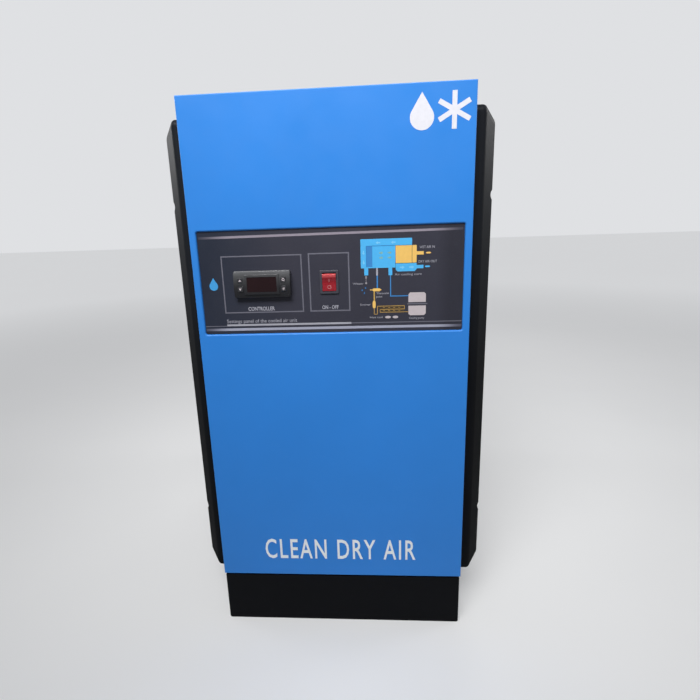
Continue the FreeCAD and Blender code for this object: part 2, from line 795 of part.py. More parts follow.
def side_covers():
    shoulder = "cover_face - cover_bevel"
    outside = cover_solid("cover_outside", "0", "0", "cover_x", shoulder, "cover_face")
    face = num("cover_face")
    base = num(shoulder)
    dress(outside, "Fillet", "cover_edge_round",
          lambda b: b.XLength < 0.01 and (abs(b.XMin - face) < 0.01 or abs(b.XMin - base) < 0.01))
    inside = cover_solid("cover_inside", "cover_wall", "0.4", "cover_x - 1", f"{shoulder} - 0.8",
                         "cover_face - cover_wall")
    shell = cut("cover_shell", outside, inside)
    spots = [(behind(side, "pocket_behind"), z) for side in ("front", "rear") for z in POCKET_Z]
    floor_x = "cover_face - pocket_depth"
    cups = [cylinder("cup", "x", (f"{floor_x} - cover_wall", y, z), "pocket_depth + cover_wall",
                     "pocket_radius + cover_wall") for y, z in spots]
    walls = common("cup_walls", outside, fuse("cups", *cups))
    pockets = [cylinder("pocket", "x", (floor_x, y, z), "pocket_depth + 1", "pocket_radius")
               for y, z in spots]
    holes = [cylinder("screw_way", "x", (f"{floor_x} - cover_wall - 1", y, z), "cover_wall + 2",
                      "screw_shank + 0.4") for y, z in spots]
    blank = cut("cover_blank", fuse("cover_with_cups", shell, walls), *pockets, *holes)

    cover = body("cover")
    cover.BaseFeature = blank
    columns = [("middle_y - louvre_column_gap / 2 - louvre_length", "middle_y - louvre_column_gap / 2"),
               ("middle_y + louvre_column_gap / 2", "middle_y + louvre_column_gap / 2 + louvre_length")]
    slots = sketch(cover, "YZ", "cover_face")
    for column in columns:
        rectangle(slots, column, ("louvre_low_z", "louvre_low_z + louvre_slot"))
    features = [pocket(slots, "cover_wall", -1)]
    inner = "cover_face - cover_wall"
    top = "louvre_low_z + louvre_slot"
    for near, _ in columns:
        blade = sketch(cover, "XZ", near)
        polygon(blade, [(f"{inner} + 1", top), (f"{inner} + 1", f"{top} + louvre_blade"),
                        (inner, f"{top} + louvre_blade"), (f"{inner} - 11", f"{top} - 9 + louvre_blade"),
                        (f"{inner} - 11", f"{top} - 9"), (inner, top)])
        features.append(pad(blade, "louvre_length", 1))
    pattern(cover, features, "Z", "louvre_span", "louvre_rows")
    right = node("side_cover_right", cover)
    node("side_cover_left", mirror("side_cover_left", right))

    screws = []
    for y, z in spots:
        head = cylinder("cover_head", "x", (floor_x, y, z), "3", "6")
        socket = hexagon("cover_socket", "x", (f"{floor_x} + 1.2", y, z), "3", "4")
        shank = cylinder("cover_shank", "-x", (f"{floor_x} + 0.1", y, z), "26", "screw_shank")
        screws.append(cut("cover_screw", fuse("cover_screw_blank", head, shank), socket))
    right_set = group("cover_screws_right", *screws)
    node("cover_screws", group("cover_screws", right_set, mirror("cover_screws_left", right_set)))


def shelf():
    """The deck that carries the heat exchanger, between the four posts."""
    deck = body("deck")
    x = ("-(post_x - post_gauge - gap)", "post_x - post_gauge - gap")
    y = tuple(behind(side, "post_setback + post_gauge + gap") for side in ("front", "rear"))
    height = "core_bottom - foam - gap"
    outline = sketch(deck, "XY", height)
    rectangle(outline, x, y)
    pad(outline, "16", -1)
    hollow = sketch(deck, "XY", f"{height} - post_gauge")
    rectangle(hollow, (f"{x[0]} + post_gauge", f"{x[1]} - post_gauge"),
              (f"{y[0]} + post_gauge", f"{y[1]} - post_gauge"))
    pocket(hollow, "16", -1)
    holes = sketch(deck, "XY", height)
    circle(holes, "0", "drip_y", "13")
    circle(holes, SUCTION_X, STUB_Y, "11")
    circle(holes, VALVE_X, LIQUID_Y, "11")
    circle(holes, "140", "front_y + 110", "14")
    pocket(holes, "post_gauge", -1)
    node("shelf", deck)


# ---------------------------------------------------------------- controls


def overlay():
    film = body("film")
    half = "strip_width / 2 - gap"
    outline = sketch(film, "XZ", "overlay_y")
    rounded(outline, (f"-({half})", half), ("strip_bottom + gap", "strip_top - gap"), "strip_corner - gap")
    pad(outline, "overlay_gauge", 1)
    pocket(control_cutouts(film, "overlay_y"), "overlay_gauge", 1)
    node("control_overlay", film)


KEYS = (("up", "-", ""), ("down", "-", "-"), ("set", "", ""), ("defrost", "", "-"))
BEZEL_SKIN = "2.2"


def key_centre(sign_x, sign_z):
    return f"controller_x + {sign_x}1 * key_x", f"control_z + {sign_z}1 * key_z"


def bezel():
    """The controller's front, crowned from top to bottom, with a raised frame round the window."""
    blank = body("bezel_blank")
    outline = sketch(blank, "XZ", "bezel_face_y")
    rounded(outline, square("controller_x", "bezel_width / 2"), square("control_z", "bezel_height / 2"),
            "2.5")
    pad(outline, "bezel_thickness - key_proud", 1)
    crown = cylinder("bezel_crown", "x",
                     ("controller_x - bezel_width", "bezel_face_y + bezel_crown", "control_z"),
                     "2 * bezel_width", "bezel_crown")
    crowned = fillet("bezel_rounded", common("bezel_crowned", blank, crown), "1",
                     lambda b: b.YMax < num("bezel_face_y + 4"))
    frame = box("window_frame", square("controller_x", "24"), ("bezel_y", "bezel_face_y + 2"),
                square("control_z", "13.5"))
    rim = fillet("window_rim", frame, "0.4", lambda b: b.YMax < num("bezel_y + 0.01"))
    return fuse("bezel", crowned, rim)


def controller():
    housing = body("controller_case")
    housing.BaseFeature = bezel()
    case = sketch(housing, "XZ", "overlay_y")
    rounded(case, square("controller_x", "case_width / 2"), square("control_z", "case_height / 2"), "1")
    pad(case, "case_depth", 1)
    inside = sketch(housing, "XZ", "case_back_y")
    rectangle(inside, square("controller_x", "(case_width / 2 - case_wall)"),
              square("control_z", "(case_height / 2 - case_wall)"))
    pocket(inside, f"case_depth + bezel_thickness - key_proud - {BEZEL_SKIN}", -1)
    back = sketch(housing, "XZ", "case_back_y - 8")
    rectangle(back, square("controller_x", "(case_width / 2 - 1)"),
              square("control_z", "(case_height / 2 - 1)"))
    pad(back, "14", 1)
    ways = sketch(housing, "XZ", "case_back_y + 6")
    for i in range(-4, 5):
        circle(ways, f"controller_x + {i} * 7", "control_z + 5", "2.2")
        rectangle(ways, square(f"controller_x + {i} * 7", "2.4"), square("control_z - 5", "2.4"))
    pocket(ways, "5", -1)
    openings = sketch(housing, "XZ", "bezel_y")
    rounded(openings, square("controller_x", "lens_width / 2"), square("control_z", "lens_height / 2"), "1")
    for _, sign_x, sign_z in KEYS:
        x, z = key_centre(sign_x, sign_z)
        rounded(openings, square(x, "(key_size / 2 + 0.2)"), square(z, "(key_size / 2 + 0.2)"), "1.2")
    pocket(openings, f"key_proud + {BEZEL_SKIN}", 1)
    room = box("key_room", square("controller_x", "36"), (f"bezel_face_y + {BEZEL_SKIN}", "overlay_y - 1.5"),
               square("control_z", "15"))
    node("controller_housing", cut("controller_housing", housing, room))

    lens = body("controller_lens")
    glass = sketch(lens, "XZ", "bezel_y + 0.4")
    rounded(glass, square("controller_x", "(lens_width / 2 - 0.1)"),
            square("control_z", "(lens_height / 2 - 0.1)"), "0.9")
    pad(glass, "lens_gauge", 1)
    node("controller_lens", lens)

    board = box("board", square("controller_x", "32.6"), ("bezel_y + 6.6", "bezel_y + 8.2"),
                square("control_z", "12"))
    readout = box("readout", square("controller_x", "20"), ("bezel_y + 2.7", "bezel_y + 6.6"),
                  square("control_z", "9.5"))
    node("controller_board", fuse("controller_board", board, readout))

    for name, sign_x, sign_z in KEYS:
        x, z = key_centre(sign_x, sign_z)
        key = body(f"key_{name}")
        cap = sketch(key, "XZ", "bezel_y + 0.1")
        rounded(cap, square(x, "key_size / 2"), square(z, "key_size / 2"), "1")
        pad(cap, "4", 1)
        dress(key, "Fillet", "0.35", lambda b: abs(b.YMin - num("bezel_y + 0.1")) < 0.01 and b.YLength < 0.01)
        flange = sketch(key, "XZ", "bezel_y + key_proud + 2.4")
        rectangle(flange, square(x, "(key_size / 2 + 1)"), square(z, "(key_size / 2 + 1)"))
        pad(flange, "1", 1)
        node(f"controller_key_{name}", key)


def switch():
    housing = body("switch_housing")
    rim = sketch(housing, "XZ", "switch_y")
    rounded(rim, square("switch_x", "switch_width / 2"), square("control_z", "switch_height / 2"), "1.5")
    pad(rim, "overlay_y - switch_y", 1)
    dress(housing, "Fillet", "0.7", lambda b: abs(b.YMin - num("switch_y")) < 0.01 and b.YLength < 0.01)
    case = sketch(housing, "XZ", "overlay_y")
    rectangle(case, square("switch_x", "switch_body_width / 2"),
              square("control_z", "switch_body_height / 2"))
    pad(case, "switch_body_depth", 1)
    well = sketch(housing, "XZ", "switch_y")
    rectangle(well, square("switch_x", "switch_opening / 2"), square("control_z", "13"))
    pocket(well, "16", 1)
    pivots = sketch(housing, "YZ", "switch_x - 10.4")
    circle(pivots, "pivot_y", "control_z", "1.3")
    pocket(pivots, "20.8", 1)
    blades = sketch(housing, "XZ", "overlay_y + switch_body_depth")
    for x in ("switch_x - 5.5", "switch_x + 5.5"):
        for z in ("control_z - 7", "control_z + 7"):
            rectangle(blades, square(x, "3.15"), square(z, "0.4"))
    pad(blades, "8", 1)
    node("switch_housing", housing)

    rocker = body("switch_rocker")
    profile = sketch(rocker, "YZ", "-rocker_width / 2")
    polygon(profile, [("-7", "-rocker_half"), ("-5.3", "-3"), ("-5", "0"), ("-5.3", "3"),
                      ("-7", "rocker_half"),
                      ("-1", "rocker_half"), ("3", "6"), ("4", "0"), ("3", "-6"), ("-1", "-rocker_half")])
    pad(profile, "rocker_width", 1)
    dress(rocker, "Fillet", "0.6", lambda b: b.YMax < -4.9 and b.XLength > 10)
    axle = sketch(rocker, "YZ", "-10.3")
    circle(axle, "0", "0", "1.25")
    pad(axle, "20.6", 1)
    rocker.Placement = FreeCAD.Placement(V(), FreeCAD.Rotation(V(1, 0, 0), num("rocker_tilt")))
    place(rocker, "switch_x", "pivot_y", "control_z")
    node("switch_rocker", rocker)


# ---------------------------------------------------------------- air side

# Ring grooves stand for the pipe thread, at this pitch.
THREAD_PITCH = 2.3
THREAD_START = "rear_y + locknut_height + 0.5"

# Where the refrigerant lines run.
SUCTION_X = "comp_x + 35"
STUB_Y = "comp_y + 20"
VALVE_X = "-40"
LIQUID_Y = "front_y + 92"
HOT_Z = "400"


def threaded_stub(name, z, inner_end):
    """A port: thread and plain neck outside the rear panel, a hexagon inside it, a tail to the tank."""
    tail = cylinder(name + "_tail", "y", ("0", inner_end, z), f"rear_y - 26 - ({inner_end})", "15")
    nut = hexagon(name + "_hex", "y", ("0", "rear_y - 26", z), "16", "port_hex")
    neck = cylinder(name + "_neck", "y", ("0", "rear_y - 10", z), "12 + locknut_height", "port_neck")
    thread = cylinder(name + "_thread", "y", ("0", THREAD_START, z),
                      f"rear_y + port_reach - ({THREAD_START})", "port_radius")
    bore = cylinder(name + "_bore", "y", ("0", f"{inner_end} - 1", z),
                    f"rear_y + port_reach - ({inner_end}) + 2", "port_bore")
    doc.recompute()
    grooves = []
    first = num(f"{THREAD_START} + 2.5")
    count = int((num("rear_y + port_reach - 2") - first) / THREAD_PITCH)
    for i in range(count):
        y = first + i * THREAD_PITCH
        ring = Part.makeTorus(num("port_radius + 0.35"), 1.0, V(0, y, num(z)), V(0, 1, 0))
        grooves.append(ring)
    worn = doc.addObject("Part::Feature", name + "_grooves")
    worn.Shape = Part.makeCompound(grooves)
    return cut(name, fuse(name + "_solid", tail, nut, neck, thread), bore, worn)


def air_ports():
    for name, z in (("air_inlet_port", "port_high_z"), ("air_outlet_port", "port_low_z")):
        node(name, threaded_stub(name, z, "core_end_y"))
    nuts = []
    for z in ("port_high_z", "port_low_z"):
        blank = hexagon("locknut", "y", ("0", "rear_y + 0.1", z), "locknut_height", "port_hex + 4")
        hole = cylinder("locknut_hole", "y", ("0", "rear_y - 1", z), "locknut_height + 4", "port_neck + 0.05")
        nuts.append(cut("locknut", blank, hole))
    node("port_locknuts", group("port_locknuts", *nuts))


def heat_exchanger():
    """A brazed block: parallel passages between a tank at each end. The rear tank is divided."""
    block = body("exchanger_block")
    outline = sketch(block, "XZ", "tank_y")
    rectangle(outline, ("-core_half_width", "core_half_width"), ("core_bottom", "core_top"))
    pad(outline, "core_length + 2 * tank_length", 1)
    passage = sketch(block, "XZ", "tank_y + 5")
    rectangle(passage, ("-(core_half_width - 6)", "core_half_width - 6"),
              ("core_bottom + 8", "core_bottom + 16"))
    first = pocket(passage, "core_length + 2 * tank_length - 10", 1)
    pattern(block, [first], "Z", "(core_passages - 1) * 17", "core_passages")
    inner_x = ("-(core_half_width - 4)", "core_half_width - 4")
    front_tank = box("front_tank", inner_x, ("tank_y + 4", "core_y"), ("core_bottom + 4", "core_top - 4"))
    rear_y = ("core_y + core_length", "core_end_y - 4")
    wet = box("rear_tank_low", inner_x, rear_y, ("core_bottom + 4", "core_split_z - 2"))
    dry = box("rear_tank_high", inner_x, rear_y, ("core_split_z + 2", "core_top - 4"))
    ways = [cylinder("way", "y", (x, "tank_y - 1", "line_z"), "6", radius)
            for x, radius in ((SUCTION_X, "8.1"), (VALVE_X, "pipe_radius + 0.1"))]
    ways += [cylinder("air_way", "y", ("0", "core_end_y - 5", z), "6", "port_bore")
             for z in ("port_high_z", "port_low_z")]
    ways.append(cylinder("drip_way", "z", ("0", "drip_y", "core_bottom - 1"), "6", "8.1"))
    node("exchanger", cut("exchanger", block, front_tank, wet, dry, *ways))


def insulation():
    """Foam in two halves, cut away for every tube that passes through it."""
    half = "core_half_width + foam"
    x = (f"-({half})", half)
    y = ("tank_y - foam", "core_end_y + foam")
    room = box("foam_room", ("-(core_half_width + gap)", "core_half_width + gap"),
               ("tank_y - gap", "core_end_y + gap"), ("core_bottom - gap", "core_top + gap"))
    ways = [cylinder("foam_way", "y", (SUCTION_X, "tank_y - foam - 1", "line_z"), "foam + 2", "9"),
            cylinder("foam_way", "y", (VALVE_X, "tank_y - foam - 1", "line_z"), "foam + 2",
                     "pipe_radius + 1"),
            cylinder("foam_way", "y", ("0", "core_end_y - 1", "port_high_z"), "foam + 2", "16"),
            cylinder("foam_way", "y", ("0", "core_end_y - 1", "port_low_z"), "foam + 2", "16"),
            cylinder("foam_way", "z", ("0", "drip_y", "core_bottom - foam - 1"), "foam + 2", "9")]
    for name, z in (("insulation_lower", ("core_bottom - foam", "core_split_z")),
                    ("insulation_upper", ("core_split_z + gap", "core_top + foam"))):
        block = box(name + "_block", x, y, z)
        node(name, cut(name, block, room, *ways))


# ---------------------------------------------------------------- refrigerant side


def rounded_can(name, radius, low, high, shoulder):
    can = cylinder(name + "_can", "z", ("comp_x", "comp_y", low), f"({high}) - ({low})", radius)
    return fillet(name, can, shoulder, lambda b: b.ZLength < 0.01 and b.XLength > 10)


def compressor():
    outside = rounded_can("shell_outside", "comp_radius", "comp_bottom", "comp_top", "comp_shoulder")
    seam = cylinder("seam", "z", ("comp_x", "comp_y", "comp_bottom + 128"), "5", "comp_radius + 3")
    inside = rounded_can("shell_inside", "comp_radius - comp_wall", "comp_bottom + comp_wall",
                         "comp_top - comp_wall", "comp_shoulder - comp_wall")
    stubs = [cylinder("stub_way", "z", (SUCTION_X, STUB_Y, "comp_top - 5"), "10", "8.1"),
             cylinder("stub_way", "z", ("comp_x - 30", STUB_Y, "comp_top - 5"), "10", "pipe_radius + 0.1")]
    node("compressor_shell", cut("compressor_shell", fuse("shell_blank", outside, seam), inside, *stubs))

    feet = body("feet")
    reach = "foot_spread + 16"
    outline = sketch(feet, "XY", "comp_bottom - 4.3")
    rounded(outline, (f"comp_x - ({reach})", f"comp_x + {reach}"),
            (f"comp_y - ({reach} - 4)", f"comp_y + {reach} - 4"), "12")
    pad(outline, "4")
    holes = sketch(feet, "XY", "comp_bottom - 4.3")
    corners = [(f"comp_x + {i} * foot_spread", f"comp_y + {j} * foot_spread")
               for i in (-1, 1) for j in (-1, 1)]
    for x, y in corners:
        circle(holes, x, y, "9.2")
    circle(holes, "comp_x", "comp_y", "40")
    pocket(holes, "4")
    node("compressor_feet", feet)

    grommets = []
    bolts = []
    for x, y in corners:
        profile = [("4.2", "plinth_height + 0.1"), ("13", "plinth_height + 0.1"), ("13", "comp_bottom - 4.6"),
                   ("9", "comp_bottom - 4.4"), ("9", "comp_bottom - 0.2"), ("12", "comp_bottom"),
                   ("12", "comp_bottom + 5"), ("4.2", "comp_bottom + 5")]
        grommets.append(revolve("grommet", profile, x, y))
        shank = cylinder("foot_shank", "z", (x, y, "channel_height - 10"),
                         "comp_bottom + 18 - channel_height", "3")
        head = hexagon("foot_nut", "z", (x, y, "comp_bottom + 6.8"), "5", "10")
        washer = cylinder("foot_washer", "z", (x, y, "comp_bottom + 5.2"), "1.7", "10")
        low = hexagon("foot_head", "z", (x, y, "channel_height - 10"), "4", "10")
        bolts.append(fuse("foot_bolt", shank, head, washer, low))
    node("compressor_grommets", group("compressor_grommets", *grommets))
    node("compressor_bolts", group("compressor_bolts", *bolts))

    cover = body("terminal_cover")
    lid = sketch(cover, "YZ", "comp_x + comp_radius - 6")
    rounded(lid, square("comp_y", "22"), ("270", "330"), "4")
    pad(lid, "32", 1)
    dress(cover, "Fillet", "3", lambda b: b.XMin > num("comp_x + comp_radius + 25.9") and b.XLength < 0.01)
    near = cylinder("cover_scoop", "z", ("comp_x", "comp_y", "260"), "80", "comp_radius + gap")
    node("compressor_terminal_cover", cut("compressor_terminal_cover", cover, near))


def coil_pass_points():
    """The middle line of the condenser tube: up the inner row, across, and down the outer row."""
    near, far = "coil_y - coil_half - 12", "coil_y + coil_half + 14"
    levels = int(num("coil_levels"))
    points = [("inner_row_x", "coil_mouth_y", "coil_low_z")]
    order = [("inner_row_x", i) for i in range(levels)]
    order += [("outer_row_x", i) for i in reversed(range(levels))]
    at_far = True
    for x, i in order:
        level = f"coil_low_z + {i} * coil_pitch"
        if len(points) > 1:
            points.append((x, near if at_far else far, level))
        points.append((x, far if at_far else near, level))
        at_far = not at_far
    points[-1] = ("outer_row_x", "coil_mouth_y", "coil_low_z")
    return points


def condenser():
    node("condenser_tube",
         tube("condenser_tube", coil_pass_points(), "pipe_radius", "10.9", "pipe_radius - 0.9"))
    half_z = "coil_levels * coil_pitch / 2"
    x = square("coil_x", "coil_thick / 2")
    z = square("coil_z", f"({half_z})")
    levels = int(num("coil_levels"))

    def ways(owner, at, extra):
        drawn = sketch(owner, "XZ", at)
        for row in ("inner_row_x", "outer_row_x"):
            for i in range(levels):
                circle(drawn, row, f"coil_low_z + {i} * coil_pitch", f"pipe_radius + {extra}")
        return drawn

    fin = body("fin")
    outline = sketch(fin, "XZ", "0")
    rectangle(outline, x, z)
    pad(outline, "fin_gauge", 1)
    pocket(ways(fin, "0", "0.05"), "fin_gauge", 1)
    count = int(num("coil_fins"))
    step = (num("coil_half") * 2 - 8) / (count - 1)
    spots = [("0", str(num("coil_y - coil_half + 4") + i * step), "0") for i in range(count)]
    node("condenser_fins", copies("condenser_fins", fin, spots))

    plates = []
    for name, at, toward in (("near", "coil_y - coil_half", 1), ("far", "coil_y + coil_half", -1)):
        plate = body(f"end_plate_{name}")
        outline = sketch(plate, "XZ", at)
        rectangle(outline, x, (z[0], z[1]))
        pad(outline, "sheet", toward)
        pocket(ways(plate, at, "0.05"), "sheet", toward)
        foot = sketch(plate, "XZ", at)
        rectangle(foot, x, ("plinth_height + 0.1", z[0]))
        pad(foot, "sheet", toward)
        toe = sketch(plate, "XY", "plinth_height + 0.1")
        ends = sorted((at, f"{at} + {toward} * 24"), key=num)
        rectangle(toe, x, ends)
        pad(toe, "sheet")
        plates.append(plate)
    node("condenser_end_plates", group("condenser_end_plates", *plates))


def fan_section(radius, pitch, chord, camber, gauge):
    """A cambered blade section at a radius: a closed wire in the plane across the radius."""
    upper = []
    lower = []
    steps = 8
    for i in range(steps + 1):
        u = i / steps - 0.5
        thick = gauge * (0.35 + 0.65 * (1 - (2 * u) ** 2))
        rise = camber * (1 - (2 * u) ** 2)
        upper.append((u * chord, rise + thick / 2))
        lower.append((u * chord, rise - thick / 2))
    angle = math.radians(pitch)
    points = []
    for along, rise in upper + lower[::-1]:
        across = along * math.cos(angle) - rise * math.sin(angle)
        axial = along * math.sin(angle) + rise * math.cos(angle)
        points.append(V(axial, across, radius))
    return Part.makePolygon(points + points[:1])


def fan():
    """The fan blows along x. Its parts are modelled round the axis through the middle of the coil."""
    axis_y, axis_z = "coil_y", "coil_z"
    plate_x = "shroud_x"
    half_y, half_z = "coil_half", "coil_levels * coil_pitch / 2"
    skirt = box("shroud_skirt", (f"{plate_x} - 5", plate_x), square(axis_y, half_y),
                square(axis_z, f"({half_z})"))
    room = box("shroud_room", (f"{plate_x} - 6", f"{plate_x} - sheet"), square(axis_y, f"({half_y} - sheet)"),
               square(axis_z, f"({half_z} - sheet)"))
    ring = cylinder("shroud_ring", "x", (f"{plate_x} - sheet", axis_y, axis_z), "shroud_ring",
                    "fan_radius + 5")
    mouth = cylinder("shroud_mouth", "x", (f"{plate_x} - 10", axis_y, axis_z), "shroud_ring + 20",
                     "fan_radius + 3")
    node("fan_shroud", cut("fan_shroud", fuse("shroud_blank", cut("shroud_tray", skirt, room), ring), mouth))

    mid_x = num(f"{plate_x} + shroud_ring / 2 - 1")
    centre = V(mid_x, num(axis_y), num(axis_z))
    sections = [fan_section(r, p, c, m, g) for r, p, c, m, g in
                ((30, 44, 52, 5, 3.2), (85, 32, 58, 6, 2.6), (num("fan_radius"), 23, 66, 6, 1.8))]
    blade = doc.addObject("Part::Feature", "blade")
    blade.Shape = Part.makeLoft(sections, True, True)
    turns = [FreeCAD.Rotation(V(1, 0, 0), 360 * i / num("fan_count")) for i in range(int(num("fan_count")))]
    blades = copies("blades", blade, [(mid_x, axis_y, axis_z)] * len(turns), turns)
    hub = cylinder("hub", "x", (f"{mid_x} - 15", axis_y, axis_z), "30", "36")
    dish = cylinder("hub_dish", "x", (f"{mid_x} - 16", axis_y, axis_z), "20", "31")
    boss = cylinder("hub_boss", "x", (f"{mid_x} - 12", axis_y, axis_z), "20", "9")
    hollow = fuse("hub_hollow", cut("hub_cup", hub, dish), boss)
    shaft = cylinder("fan_shaft", "x", (f"{mid_x} - 13", axis_y, axis_z), "50", "3.9")
    trim = cylinder("hub_trim", "x", (f"{mid_x} - 30", axis_y, axis_z), "60", "33")
    outer_blades = cut("outer_blades", blades, trim)
    limit = cylinder("fan_limit", "x", (f"{mid_x} - 30", axis_y, axis_z), "90", "fan_radius")
    wheel = fuse("fan_blank", outer_blades, hollow, shaft)
    node("fan_wheel", common("fan_wheel", wheel, limit))

    case_x = f"{mid_x} + 20"
    blank = cylinder("motor_blank", "x", (case_x, axis_y, axis_z), "motor_length", "motor_radius")
    can = fillet("motor_can", blank, "6", lambda b: b.XLength < 0.01)
    nose = cylinder("motor_nose", "x", (f"{case_x} - 3", axis_y, axis_z), "4", "12")
    way = cylinder("motor_way", "x", (f"{case_x} - 4", axis_y, axis_z), "22", "3.95")
    node("fan_motor", cut("fan_motor", fuse("motor_solid", can, nose), way))

    arms = []
    rim_x = num(f"{plate_x} - sheet + shroud_ring")
    plane = f"{case_x} + motor_length"
    for i in range(4):
        turn = math.radians(45 + 90 * i)
        reach = [(r * math.cos(turn), r * math.sin(turn)) for r in (num("motor_radius") - 10, 165)]
        points = [(plane, f"{axis_y} + {reach[0][0]}", f"{axis_z} + {reach[0][1]}"),
                  (plane, f"{axis_y} + {reach[1][0]}", f"{axis_z} + {reach[1][1]}"),
                  (plate_x, f"{axis_y} + {reach[1][0]}", f"{axis_z} + {reach[1][1]}")]
        arms.append(tube(f"arm_{i}", [(f"{x} + 3.6", y, z) for x, y, z in points], "3", "14"))
    back = cylinder("arm_plate", "x", (f"{plane} + 0.1", axis_y, axis_z), "5", "36")
    node("fan_bracket", fuse("fan_bracket", back, *arms))


def refrigerant_lines():
    """The copper lines with the filter drier and the expansion valve, from the compressor round and back."""
    suction = [(SUCTION_X, STUB_Y, "comp_top - 2"), (SUCTION_X, STUB_Y, "line_z"),
               (SUCTION_X, "tank_y + 3", "line_z")]
    node("suction_line", tube("suction_line", suction, "8", "24", "7"))

    hot = [("comp_x - 30", STUB_Y, "comp_top - 2"), ("comp_x - 30", STUB_Y, HOT_Z),
           ("inner_row_x", STUB_Y, HOT_Z), ("inner_row_x", STUB_Y, "coil_low_z"),
           ("inner_row_x", "coil_mouth_y - 0.1", "coil_low_z")]
    node("discharge_line", tube("discharge_line", hot, "pipe_radius", "15", "pipe_radius - 0.9"))

    low = [("outer_row_x", "coil_mouth_y - 0.1", "coil_low_z"), ("outer_row_x", LIQUID_Y, "coil_low_z"),
           ("-120", LIQUID_Y, "coil_low_z"), ("-120", LIQUID_Y, "196")]
    node("liquid_line_lower", tube("liquid_line_lower", low, "pipe_radius", "15", "pipe_radius - 0.9"))
    profile = [("0", "196.1"), ("7", "196.1"), ("7", "202"), ("20", "214"), ("20", "296"), ("7", "308"),
               ("7", "314"), ("0", "314")]
    node("filter_drier", revolve("filter_drier", profile, "-120", LIQUID_Y))
    high = [("-120", LIQUID_Y, "314.1"), ("-120", LIQUID_Y, "500"), (VALVE_X, LIQUID_Y, "500"),
            (VALVE_X, LIQUID_Y, "line_z"), (VALVE_X, "front_y + 162", "line_z")]
    node("liquid_line_upper", tube("liquid_line_upper", high, "pipe_radius", "15", "pipe_radius - 0.9"))
    stem = [hexagon("expansion_body", "y", (VALVE_X, "front_y + 162.1", "line_z"), "30", "20"),
            cylinder("expansion_neck", "z", (VALVE_X, "front_y + 177", "line_z"), "30", "7"),
            cylinder("expansion_head", "z", (VALVE_X, "front_y + 177", "line_z + 28"), "9", "17")]
    outlet = cylinder("expansion_outlet", "y", (VALVE_X, "front_y + 190", "line_z"),
                      "tank_y + 3 - front_y - 190", "pipe_radius")
    node("expansion_valve", fuse("expansion_valve", *stem, outlet))


# ---------------------------------------------------------------- condensate drain


